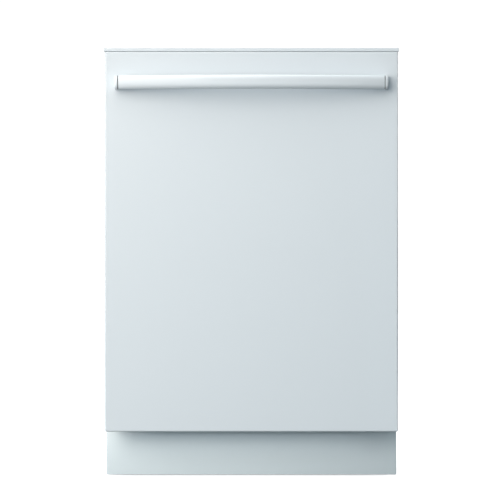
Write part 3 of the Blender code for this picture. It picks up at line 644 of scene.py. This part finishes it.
def hard_parts():
    """Every node that needs only whole faces, softened edges and a fitting finish."""
    for node, finish in STAINLESS:
        refined(node, finish, edge=0.00025)
    for node in GALVANISED:
        refined(node, "galvanised", edge=0.0003)
    for node in IN_SLOT_FINISH:
        refined(node, edge=0.0004)


# Wire goods and mouldings


def bent(points, radius, steps=4):
    """A path with its corners rounded, as wire is bent round a pin."""
    points = [Vector(point) for point in points]
    path = [points[0]]
    for before, corner, after in zip(points, points[1:], points[2:]):
        into, out = (before - corner).normalized(), (after - corner).normalized()
        reach = min(radius, (before - corner).length / 2, (after - corner).length / 2)
        for i in range(steps + 1):
            t = i / steps
            path.append(corner + into * reach * (1 - t) ** 2 + out * reach * t ** 2)
    return path + [points[-1]]


END_RADIUS = 0.8


def wires(name, paths, thickness, finish, node, closed=False):
    """Round wires, one spline for each path. An open one is drawn in a little at its ends."""
    data = bpy.data.curves.new(name, "CURVE")
    data.dimensions = "3D"
    data.bevel_depth = thickness / 2
    data.bevel_resolution = 3
    data.use_fill_caps = True
    for path in paths:
        spline = data.splines.new("POLY")
        spline.points.add(len(path) - 1)
        spline.use_cyclic_u = closed
        for point, place in zip(spline.points, path):
            point.co = (*place, 1.0)
        if not closed:
            spline.points[0].radius = spline.points[-1].radius = END_RADIUS
    return added(name, data, finish, node)


def spaced(low, high, count):
    """Evenly spaced numbers, with both ends among them."""
    return [low + (high - low) * i / (count - 1) for i in range(count)]


def loop_at(half, front, back, z, corner=0.02):
    """A closed ring of wire round a basket at one height."""
    outline = rounded_rectangle((-half, front), (half, back), corner, 5)
    return [(x, y, z) for x, y in outline]


def basket_wires(node, half, front, back, floor, rim, counts, levels):
    """Cross wires and long wires bent up at both ends, inside rings of heavier wire."""
    turn, thin, ring_wire, rim_wire, margin = 0.014, 0.0030, 0.0036, 0.0056, 0.03
    under = floor - thin * 0.8
    paths = []
    for x in spaced(-half + margin, half - margin, counts[0]):
        ends = [(x, front, rim), (x, front, floor), (x, back, floor), (x, back, rim)]
        paths.append(bent(ends, turn))
    for y in spaced(front + margin, back - margin, counts[1]):
        ends = [(-half, y, rim), (-half, y, under), (half, y, under), (half, y, rim)]
        paths.append(bent(ends, turn))
    cage = wires(node + "_wires", paths, thin, "wire", node)
    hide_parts(node)
    rings = [loop_at(half, front, back, z) for z in levels]
    wires(node + "_rings", rings, ring_wire, "wire", node, closed=True)
    wires(node + "_rim", [loop_at(half, front, back, rim)], rim_wire, "wire", node, closed=True)


def tines(name, node, plane, at, span, bar_z, height, count):
    """Plate tines welded to a bar, each with a rounded tip."""
    thick, tip, tip_radius = 0.0032, 0.0018, 0.0023

    def place(u, z):
        return (u, at, z) if plane == "XZ" else (at, u, z)

    stems = [[place(span[0], bar_z), place(span[1], bar_z)]]
    for u in spaced(span[0] + thick / 2, span[1] - thick / 2, count):
        heights = (bar_z, bar_z + height * 0.5, bar_z + height - tip)
        stems.append([place(u, z) for z in heights])
    piece = wires(name, stems, thick, "wire", node)
    shape = bmesh.new()
    for stem in stems[1:]:
        bead = bmesh.ops.create_uvsphere(shape, u_segments=12, v_segments=8, radius=tip_radius)
        bmesh.ops.translate(shape, verts=bead["verts"], vec=Vector(stem[-1]))
    tips = as_mesh(shape, name + "_tips", 1.0, outward=False)
    added(name + "_tips", tips, "wire", node)
    return piece


def slab(shape, low, high):
    """A box between two corners, added to the shape."""
    block = bmesh.ops.create_cube(shape, size=1.0)["verts"]
    for corner in block:
        corner.co = [a + (b - a) * (t + 0.5) for a, b, t in zip(low, high, corner.co)]


BLOCK_ANGLE = 0.5


def moulding(name, low, high, finish, node, edge, recess=None, inset=0.004, depth=0.002):
    """A block with well rounded edges, and a pocket in the face that recess points along."""
    shape = bmesh.new()
    slab(shape, low, high)
    bmesh.ops.recalc_face_normals(shape, faces=shape.faces)
    if recess:
        facing = [face for face in shape.faces if face.normal.dot(Vector(recess)) > 0.9]
        bmesh.ops.inset_region(shape, faces=facing, thickness=inset, depth=0.0)
        bmesh.ops.inset_region(shape, faces=facing, thickness=depth * 0.5, depth=-depth)
    mesh = as_mesh(shape, name, BLOCK_ANGLE, outward=False)
    return soften(added(name, mesh, finish, node), edge, 3)


def spun(name, profile, centre, finish, node, axis="Z", sides=48):
    """A profile of (radius, height) pairs turned about an axis through centre."""
    shape = bmesh.new()
    rows = []
    for i in range(sides):
        turn = 2 * math.pi * i / sides
        row = []
        for radius, height in profile:
            a, b = radius * math.cos(turn), radius * math.sin(turn)
            place = {"X": (height, a, b), "Z": (a, b, height)}[axis]
            row.append(shape.verts.new(Vector(centre) + Vector(place)))
        rows.append(row)
    skinned(shape, rows, round_rows=True, round_points=True)
    return added(name, as_mesh(shape, name, BLOCK_ANGLE), finish, node)


# The racks, in the CAD racks' own sizes

WHEEL_HEIGHT, WHEEL_X = 0.1703, 0.252
WHEEL_ENDS = (("front", -0.100), ("rear", 0.200))
TINE_ROWS = (("front", 0.005), ("rear", 0.205))
SHELF_HEIGHT = 0.610


def lower_rack():
    node = "lower_rack"
    half, front, back, floor, rim = 0.235, -0.190, 0.262, 0.200, 0.335
    basket_wires(node, half, front, back, floor, rim, (11, 13), (0.2345, 0.268, 0.3015))
    for i, y in enumerate((-0.085, 0.095)):
        name, span = f"lower_fixed_tines_{i + 1}", (-0.214, 0.214)
        tines(name, node, "XZ", y, span, floor + 0.0004, 0.073, 17)
    for row, y in TINE_ROWS:
        for side, hand in HANDS:
            centre, reach = Vector((side * 0.17625, y, 0.2065)), Vector((0.0034, 0.0054, 0.0074))
            name = f"{row}_tine_clip_{hand}"
            moulding(name, centre - reach, centre + reach, "grey_plastic", node, 0.0012)
    axle = ((0.0, 0.0), (0.003, 0.0), (0.003, 0.0135), (0.0058, 0.0137), (0.0060, 0.0145),
            (0.0045, 0.0150), (0.0, 0.0150))
    for side, hand in HANDS:
        for end, y in WHEEL_ENDS:
            near, far = sorted((side * 0.2318, side * 0.2443))
            moulding(f"{end}_{hand}_wheel_carrier", (near, y - 0.015, 0.160),
                     (far, y + 0.015, 0.206), "white_plastic", node, 0.0022,
                     (side, 0, 0), 0.004, 0.0015)
            profile = [(radius, side * height) for radius, height in axle]
            place = (side * 0.2440, y, WHEEL_HEIGHT)
            spun(f"{end}_{hand}_axle", profile, place, "grey_plastic", node, "X", 28)
    rack_grip("lower_rack_grip", node, front, 0.309, 0.333)


def rack_grip(name, node, front, low, high):
    """A moulded pull with a ribbed finger scoop, snapped over the front wires."""
    moulding(name, (-0.06, front - 0.009, low), (0.06, front + 0.0012, high),
             "grey_plastic", node, 0.0035, (0, -1, 0), 0.0045, 0.0028)
    y, margin = front - 0.0066, 0.007
    ribs = []
    for i in range(9):
        x = -0.044 + 0.011 * i
        ribs.append([(x, y, low + margin), (x, y, high - margin)])
    wires(name + "_ribs", ribs, 0.0022, "grey_plastic", node)


def upper_rack():
    node = "upper_rack"
    half, front, back, floor, rim = 0.240, -0.185, 0.235, 0.512, 0.630
    basket_wires(node, half, front, back, floor, rim, (11, 12), (0.5415, 0.571, 0.6005))
    for i, x in enumerate((-0.09, 0.09)):
        name, span = f"upper_fixed_tines_{i + 1}", (-0.175, 0.225)
        tines(name, node, "YZ", x, span, floor + 0.0004, 0.0465, 15)
    for side, hand in HANDS:
        near, far = sorted((side * 0.2390, side * 0.2678))
        moulding(f"upper_rack_{hand}_hook", (near, -0.020, 0.5855), (far, 0.235, 0.5945),
                 "grey_plastic", node, 0.0018, (0, 0, 1), 0.005, 0.0022)
        for end, y in (("front", -0.101), ("rear", 0.151)):
            centre = Vector((side * 0.2350, y, SHELF_HEIGHT))
            reach = Vector((0.0055, 0.004, 0.005))
            name = f"{end}_{hand}_shelf_clip"
            moulding(name, centre - reach, centre + reach, "grey_plastic", node, 0.0012)
    rack_grip("upper_rack_grip", node, front, 0.604, 0.628)


def tine_rows():
    for row, y in TINE_ROWS:
        node = row + "_tine_row"
        piece = tines(node + "_wires", node, "XZ", y, (-0.212, 0.212), 0.2065, 0.0780, 17)
        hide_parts(node)


def cup_shelves():
    for side, hand in HANDS:
        node = f"{hand}_cup_shelf"
        inner, rib, outer = side * 0.1205, side * 0.178, side * 0.235
        front, back, z = -0.1495, 0.1995, SHELF_HEIGHT
        paths = []
        for y in spaced(front, back, 14):
            paths.append(bent([(outer, y, z), (inner, y, z), (inner, y, z + 0.0015)], 0.001))
        cross = wires(node + "_wires", paths, 0.0026, "grey_plastic", node)
        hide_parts(node)
        edges = [[(x, front, z), (x, back, z)] for x in (inner, rib)]
        wires(node + "_edges", edges, 0.0030, "grey_plastic", node)
        rod = [(outer, -0.155, z), (outer, 0.205, z)]
        wires(node + "_rod", [rod], 0.0048, "grey_plastic", node)


def wheels():
    """Rollers with a grooved tread, a dished web, six spokes and a hub."""
    half = [(0.0035, -0.0050), (0.0060, -0.0050), (0.0064, -0.0022), (0.0132, -0.0020),
            (0.0142, -0.0047), (0.0162, -0.0049), (0.0178, -0.0036), (0.0179, -0.0008)]
    groove = (0.0172, 0.0)
    profile = half + [groove] + [(radius, -height) for radius, height in reversed(half)]
    for end, y in WHEEL_ENDS:
        for side, hand in HANDS:
            node, x = f"{end}_{hand}_wheel", side * WHEEL_X
            centre = (x, y, WHEEL_HEIGHT)
            wheel = spun(node + "_roller", profile, centre, "white_plastic", node, "X", 56)
            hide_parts(node)
            spokes = []
            for i in range(6):
                c, s = math.cos(math.radians(60 * i)), math.sin(math.radians(60 * i))
                spokes.append([(x, y + r * c, WHEEL_HEIGHT + r * s) for r in (0.006, 0.0138)])
            wires(node + "_spokes", spokes, 0.0056, "white_plastic", node)


def cutlery_basket():
    """A moulded basket with slatted walls, a grid floor and five dividers."""
    node = "cutlery_basket"
    low, high = Vector((-0.120, -0.183, 0.2025)), Vector((0.120, -0.118, 0.320))
    size = high - low
    wall, slat, step_in, divider, bar = 0.0022, 0.0028, 0.0003, 0.0007, 0.0012
    thin = wall - 2 * step_in
    foot, head = low.z + 0.004, high.z - 0.004
    shape = bmesh.new()
    bands = [(low.z, low.z + 0.008), (0.2560, 0.2600), (high.z - 0.009, high.z)]
    for bottom, top in bands:
        for y in (low.y, high.y - wall):
            slab(shape, (low.x, y, bottom), (high.x, y + wall, top))
        for x in (low.x, high.x - wall):
            slab(shape, (x, low.y + wall, bottom), (x + wall, high.y - wall, top))
    for i in range(31):
        x = low.x + (size.x - slat) * i / 30
        for y in (low.y + step_in, high.y - wall + step_in):
            slab(shape, (x, y, foot), (x + slat, y + thin, head))
    for i in range(1, 9):
        y = low.y + (size.y - slat) * i / 9
        for x in (low.x + step_in, high.x - wall + step_in):
            slab(shape, (x, y, foot), (x + thin, y + slat, head))
    for i in range(1, 6):
        x = -0.1184 + 0.0394 * i
        slab(shape, (x - divider, low.y + wall, low.z + 0.002),
             (x + divider, high.y - wall, high.z - 0.012))
    edge, floor_top = 0.001, low.z + wall
    for i in range(1, 24):
        x = low.x + size.x * i / 24
        slab(shape, (x - bar, low.y + edge, low.z), (x + bar, high.y - edge, floor_top))
    for i in range(1, 6):
        y = low.y + size.y * i / 6
        slab(shape, (low.x + edge, y - bar, low.z), (high.x - edge, y + bar, floor_top))
    mesh = as_mesh(shape, node + "_lattice", BLOCK_ANGLE)
    basket = soften(added(mesh.name, mesh, "grey_plastic", node), 0.0005, 1)
    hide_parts(node)
    y = -0.1505
    arch = [(-0.098, 0.318), (-0.090, 0.322), (-0.034, 0.3422),
            (0.034, 0.3422), (0.090, 0.322), (0.098, 0.318)]
    hoop = bent([(x, y, z) for x, z in arch], 0.02, 6)
    wires(node + "_hoop", [hoop], 0.0050, "grey_plastic", node)
    grip = [(-0.026, y, 0.3420), (0.026, y, 0.3420)]
    wires(node + "_grip", [grip], 0.0060, "grey_plastic", node)


# Each arm's node, the blade's reach, its half width at the hub, and its underside's height
ARMS = (
    ("lower_spray_arm", 0.2245, 0.0225, 0.164),
    ("upper_spray_arm", 0.1995, 0.0225, 0.4715),
    ("top_spray_arm", 0.0995, 0.0215, 0.814),
)
TIP_WIDTH, ROUND_FROM = 0.0125, 0.93


def spray_arms():
    """Water arms: a crowned blade on a turned hub, with raised jets along its top."""
    for node, reach, root, underside in ARMS:
        low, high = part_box(node)
        middle_y = (low.y + high.y) / 2
        thick = 0.010 if node != "top_spray_arm" else high.z - underside
        rings = []
        for x in spaced(-reach, reach, 49):
            far = abs(x) / reach
            past = max(0.0, (far - ROUND_FROM) / (1 - ROUND_FROM))
            width = root + (TIP_WIDTH - root) * min(1.0, far * 1.1)
            width *= math.sqrt(max(0.0, 1 - past ** 2)) * 0.97 + 0.03
            rise = thick * (0.5 + 0.5 * width / root)
            ring = []
            for i in range(20):
                turn = 2 * math.pi * i / 20
                c, s = math.cos(turn), math.sin(turn)
                y = math.copysign(abs(c) ** 0.8, c) * width
                z = math.copysign(abs(s) ** 0.75, s) * rise / 2
                ring.append((x, middle_y + y, underside + thick / 2 + z))
            rings.append(ring)
        blade = lofted(node + "_blade", rings, "grey_plastic", node, smooth_angle=1.2)
        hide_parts(node)
        spray_details(node, reach, middle_y, underside + thick, low.z, high.z)


def spray_details(node, reach, y, blade_top, bottom, top):
    """The arm's hub, and its eight jets in two staggered rows."""
    bore, hub, chamfer = 0.0085, 0.0205, 0.0020
    if node == "top_spray_arm":
        hub = 0.016
    bottom, top = bottom + 0.0002, top - 0.0002
    profile = [(bore, bottom), (hub - chamfer, bottom), (hub, bottom + chamfer),
               (hub, top - chamfer), (hub - chamfer, top), (bore, top)]
    spun(node + "_hub", profile, (0, y, 0), "grey_plastic", node)
    jet = [(0.0012, 0.0), (0.0040, 0.0), (0.0034, 0.0016),
           (0.0021, 0.0019), (0.0017, 0.0010), (0.0012, 0.0008)]
    sunk, stagger = 0.0012, 0.004
    for i, part in enumerate((-0.9, -0.72, -0.52, -0.3, 0.3, 0.52, 0.72, 0.9)):
        place = (part * reach, y + stagger * (-1) ** i, blade_top - sunk)
        spun(f"{node}_jet_{i + 1}", jet, place, "grey_plastic", node, sides=20)


def inside():
    lower_rack()
    upper_rack()
    tine_rows()
    cup_shelves()
    wheels()
    cutlery_basket()
    spray_arms()


# The padded felt blanket round the tub


def baked(piece):
    """Puts the modifiers' result into the mesh, and leaves no modifier behind."""
    graph = bpy.context.evaluated_depsgraph_get()
    mesh = bpy.data.meshes.new_from_object(piece.evaluated_get(graph))
    piece.modifiers.clear()
    piece.data = mesh


def hood(name, low, high, cell):
    """An open sheet over the top, both sides and the back of a box, in even cells."""
    shape = bmesh.new()
    size = high - low
    counts = [max(2, round(length / cell)) for length in size]
    spots = {}

    def spot(*key):
        if key not in spots:
            place = [a + s * n / c for a, s, n, c in zip(low, size, key, counts)]
            spots[key] = shape.verts.new(place)
        return spots[key]

    def quad(*keys):
        shape.faces.new([spot(*key) for key in keys])

    nx, ny, nz = counts
    for j in range(ny):
        for k in range(nz):
            quad((0, j, k), (0, j, k + 1), (0, j + 1, k + 1), (0, j + 1, k))
            quad((nx, j, k), (nx, j + 1, k), (nx, j + 1, k + 1), (nx, j, k + 1))
    for i in range(nx):
        for j in range(ny):
            quad((i, j, nz), (i + 1, j, nz), (i + 1, j + 1, nz), (i, j + 1, nz))
        for k in range(nz):
            quad((i, ny, k), (i, ny, k + 1), (i + 1, ny, k + 1), (i + 1, ny, k))
    bmesh.ops.recalc_face_normals(shape, faces=shape.faces)
    shape.normal_update()
    if sum(face.normal.z for face in shape.faces if face.normal.z ** 2 > 0.5) < 0:
        bmesh.ops.reverse_faces(shape, faces=shape.faces)
    mesh = bpy.data.meshes.new(name)
    shape.to_mesh(mesh)
    shape.free()
    return mesh


def stud_places(low, high):
    """The push studs through the blanket, as (place, outward direction)."""
    size = high - low
    places = []
    for a in (0.16, 0.5, 0.84):
        for b in (0.14, 0.5, 0.86):
            y, z = low.y + size.y * a, low.z + size.z * b
            places.append((Vector((low.x, y, z)), Vector((-1, 0, 0))))
            places.append((Vector((high.x, y, z)), Vector((1, 0, 0))))
            x, z = low.x + size.x * a, low.z + size.z * b
            places.append((Vector((x, high.y, z)), Vector((0, 1, 0))))
    for a in (0.16, 0.5, 0.84):
        for b in (0.2, 0.8):
            place = Vector((low.x + size.x * a, low.y + size.y * b, high.z))
            places.append((place, Vector((0, 0, 1))))
    return places


STUD_HOLD, STUD_FADE, HEM_FADE, FOLD_FADE = 0.014, 0.010, 0.020, 0.012


def pinned(piece, low, high, studs):
    """Holds the cloth at the studs, the hems and the folded corners."""
    group = piece.vertex_groups.new(name="held")
    for vertex in piece.data.vertices:
        at = vertex.co
        nearest = min((at - place).length for place, _ in studs)
        hem = min(at.y - low.y, at.z - low.z)
        to_side = min(high.x - at.x, at.x - low.x)
        to_back, to_top = high.y - at.y, high.z - at.z
        fold = sorted((abs(to_side), abs(to_back), abs(to_top)))[1]
        at_stud = 1 - max(0.0, nearest - STUD_HOLD) / STUD_FADE
        weight = max(at_stud, 1 - hem / HEM_FADE, 1 - fold / FOLD_FADE)
        group.add([vertex.index], min(1.0, max(0.0, weight)), "REPLACE")


def inflated(piece, pressure, frames):
    """Fills the pad with air for a few frames, away from gravity."""
    cloth = piece.modifiers.new("filling", "CLOTH")
    cloth.settings.use_pressure = True
    cloth.settings.uniform_pressure_force = pressure
    cloth.settings.effector_weights.gravity = 0.0
    cloth.settings.vertex_group_mass = "held"
    cloth.settings.mass = 0.4
    cloth.settings.tension_stiffness = 30.0
    cloth.settings.compression_stiffness = 20.0
    cloth.settings.bending_stiffness = 4.0
    cloth.settings.air_damping = 4.0
    cloth.point_cache.frame_start, cloth.point_cache.frame_end = 1, frames
    for frame in range(1, frames + 1):
        bpy.context.scene.frame_set(frame)
    baked(piece)
    bpy.context.scene.frame_set(1)


# How far the flat felt lies inside the CAD blanket, and how far it may swell
ROOM, BACK_ROOM, EDGE_ROOM = 0.0047, 0.0043, 0.0004
MOST_OUT, MOST_IN = 0.0050, 0.0012
CELL, FELT, LUMP = 0.013, 0.0056, 0.00035
PRESSURE, FRAMES = 4.0, 20


def blanket():
    """A stud quilted blanket of felt, which swells between its studs, folds and hems."""
    node, name = "insulation_blanket", "felt_blanket"
    corner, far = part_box(node)
    low = Vector((corner.x + ROOM, corner.y + EDGE_ROOM, corner.z + EDGE_ROOM))
    high = Vector((far.x - ROOM, far.y - BACK_ROOM, far.z - ROOM))
    studs = stud_places(low, high)
    piece = added(name, hood(name, low, high, CELL), "felt", node)
    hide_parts(node)
    sheet = piece.modifiers.new("felt", "SOLIDIFY")
    sheet.thickness, sheet.offset = FELT, 0.0
    baked(piece)
    flat = [vertex.co.copy() for vertex in piece.data.vertices]
    pinned(piece, low, high, studs)
    inflated(piece, PRESSURE, FRAMES)
    for vertex, start in zip(piece.data.vertices, flat):
        move = vertex.co - start
        outside = (
            start.x < low.x or start.x > high.x or start.y > high.y or start.z > high.z
        )
        most = MOST_OUT if outside else MOST_IN
        if move.length > 1e-6:
            move *= most * math.tanh(move.length / most) / move.length
        lumps = noise.noise(start * 14) + 0.5 * noise.noise(start * 37)
        vertex.co = start + move
        if outside:
            vertex.co += vertex.normal * LUMP * lumps
    finer = piece.modifiers.new("finer", "SUBSURF")
    finer.levels = finer.render_levels = 1
    baked(piece)
    for face in piece.data.polygons:
        face.use_smooth = True
    push_studs(studs)
    hem_tape(low, high)
    piping(low, high)


def push_studs(studs):
    """The push studs' round heads, each turned to face outward."""
    shape = bmesh.new()
    profile = [(0.0000, 0.0036), (0.0035, 0.0039), (0.0040, 0.0034), (0.0085, 0.0034),
               (0.0105, 0.0031), (0.0112, 0.0025), (0.0112, 0.0019), (0.0, 0.0019)]
    sides = 28
    for place, outward in studs:
        tilt = Vector((0, 0, 1)).rotation_difference(outward)
        rows = []
        for i in range(sides):
            turn = 2 * math.pi * i / sides
            c, s = math.cos(turn), math.sin(turn)
            points = [place + tilt @ Vector((r * c, r * s, h)) for r, h in profile]
            rows.append([shape.verts.new(point) for point in points])
        skinned(shape, rows, round_rows=True, round_points=False)
    bmesh.ops.remove_doubles(shape, verts=shape.verts, dist=1e-6)
    mesh = as_mesh(shape, "blanket_studs", SHARP_ANGLE)
    added("blanket_studs", mesh, "dark_plastic", "insulation_blanket")


def hem_tape(low, high):
    """Binding sewn round the blanket's front and lower edges."""
    y, z = low.y + 0.0022, low.z + 0.0022
    arch = [(low.x, y, low.z), (low.x, y, high.z), (high.x, y, high.z), (high.x, y, low.z)]
    foot = [(low.x, low.y, z), (low.x, high.y, z), (high.x, high.y, z), (high.x, low.y, z)]
    paths = [bent(path, 0.004, 3) for path in (arch, foot)]
    wires("blanket_binding", paths, 0.0076, "rubber", "insulation_blanket")


def piping(low, high):
    """The corded seams where the blanket's panels meet."""
    out, short = 0.0008, 0.004
    y, z = high.y + out, high.z + out
    paths = []
    for x in (low.x - out, high.x + out):
        paths.append([(x, y, low.z), (x, y, high.z - short)])
        paths.append([(x, low.y, z), (x, high.y - short, z)])
    paths.append([(low.x + short, y, z), (high.x - short, y, z)])
    wires("blanket_piping", paths, 0.0052, "rubber", "insulation_blanket")


# Stamped beads, which stiffen the steel sheets

DOOR_LINER_FACE = -0.2265
TUB_SIDE_FACE, TUB_BACK_FACE = 0.2785, 0.310
BEAD_WIDTH, BEAD_HEIGHT = 0.011, 0.0013
BEAD_STEPS, BEAD_SIDES = 24, 8


def beads(name, node, finish, runs, outward):
    """Half round ridges that fade out at both ends, from (start, end) pairs on a sheet."""
    shape = bmesh.new()
    outward = Vector(outward)
    for start, end in runs:
        start, end = Vector(start), Vector(end)
        along = (end - start).normalized()
        across = along.cross(outward)
        rows = []
        for i in range(BEAD_STEPS + 1):
            t = i / BEAD_STEPS
            ease = math.sin(math.pi * min(1.0, t * 5, (1 - t) * 5) / 2)
            row = []
            for k in range(BEAD_SIDES + 1):
                turn = math.pi * k / BEAD_SIDES
                spread = BEAD_WIDTH / 2 * math.cos(turn) * (0.4 + 0.6 * ease)
                rise = BEAD_HEIGHT * ease * math.sin(turn) - 0.0002
                row.append(shape.verts.new(start.lerp(end, t) + across * spread + outward * rise))
            rows.append(row)
        skinned(shape, rows, round_rows=False, round_points=False)
    added(name, as_mesh(shape, name, 1.2), finish, node)


def stamped_beads():
    """Beads on the door's liner, the tub's sides and its back."""
    y = DOOR_LINER_FACE
    runs = []
    for x in (-0.165, -0.195, 0.165, 0.195):
        runs.append(((x, y, 0.235), (x, y, 0.800)))
    for z in (0.520, 0.580, 0.640, 0.700, 0.760):
        runs.append(((-0.135, y, z), (0.135, y, z)))
    beads("door_liner_beads", "door_inner_liner", "stainless_flat", runs, (0, 1, 0))
    for side, hand in HANDS:
        x = side * TUB_SIDE_FACE
        runs = [((x, -0.150, z), (x, 0.250, z)) for z in (0.330, 0.400, 0.690, 0.750)]
        beads(f"tub_{hand}_beads", "tub", "stainless", runs, (-side, 0, 0))
    y = TUB_BACK_FACE
    runs = []
    for x in (-0.20, -0.14, -0.08, 0.08, 0.14, 0.20):
        runs.append(((x, y, 0.230), (x, y, 0.780)))
    beads("tub_back_beads", "tub", "stainless", runs, (0, -1, 0))


finish_cad_nodes()
front_of_door()
hard_parts()
stamped_beads()
inside()
blanket()
stage()
lights()
camera()
bpy.context.scene.view_settings.view_transform = "Standard"
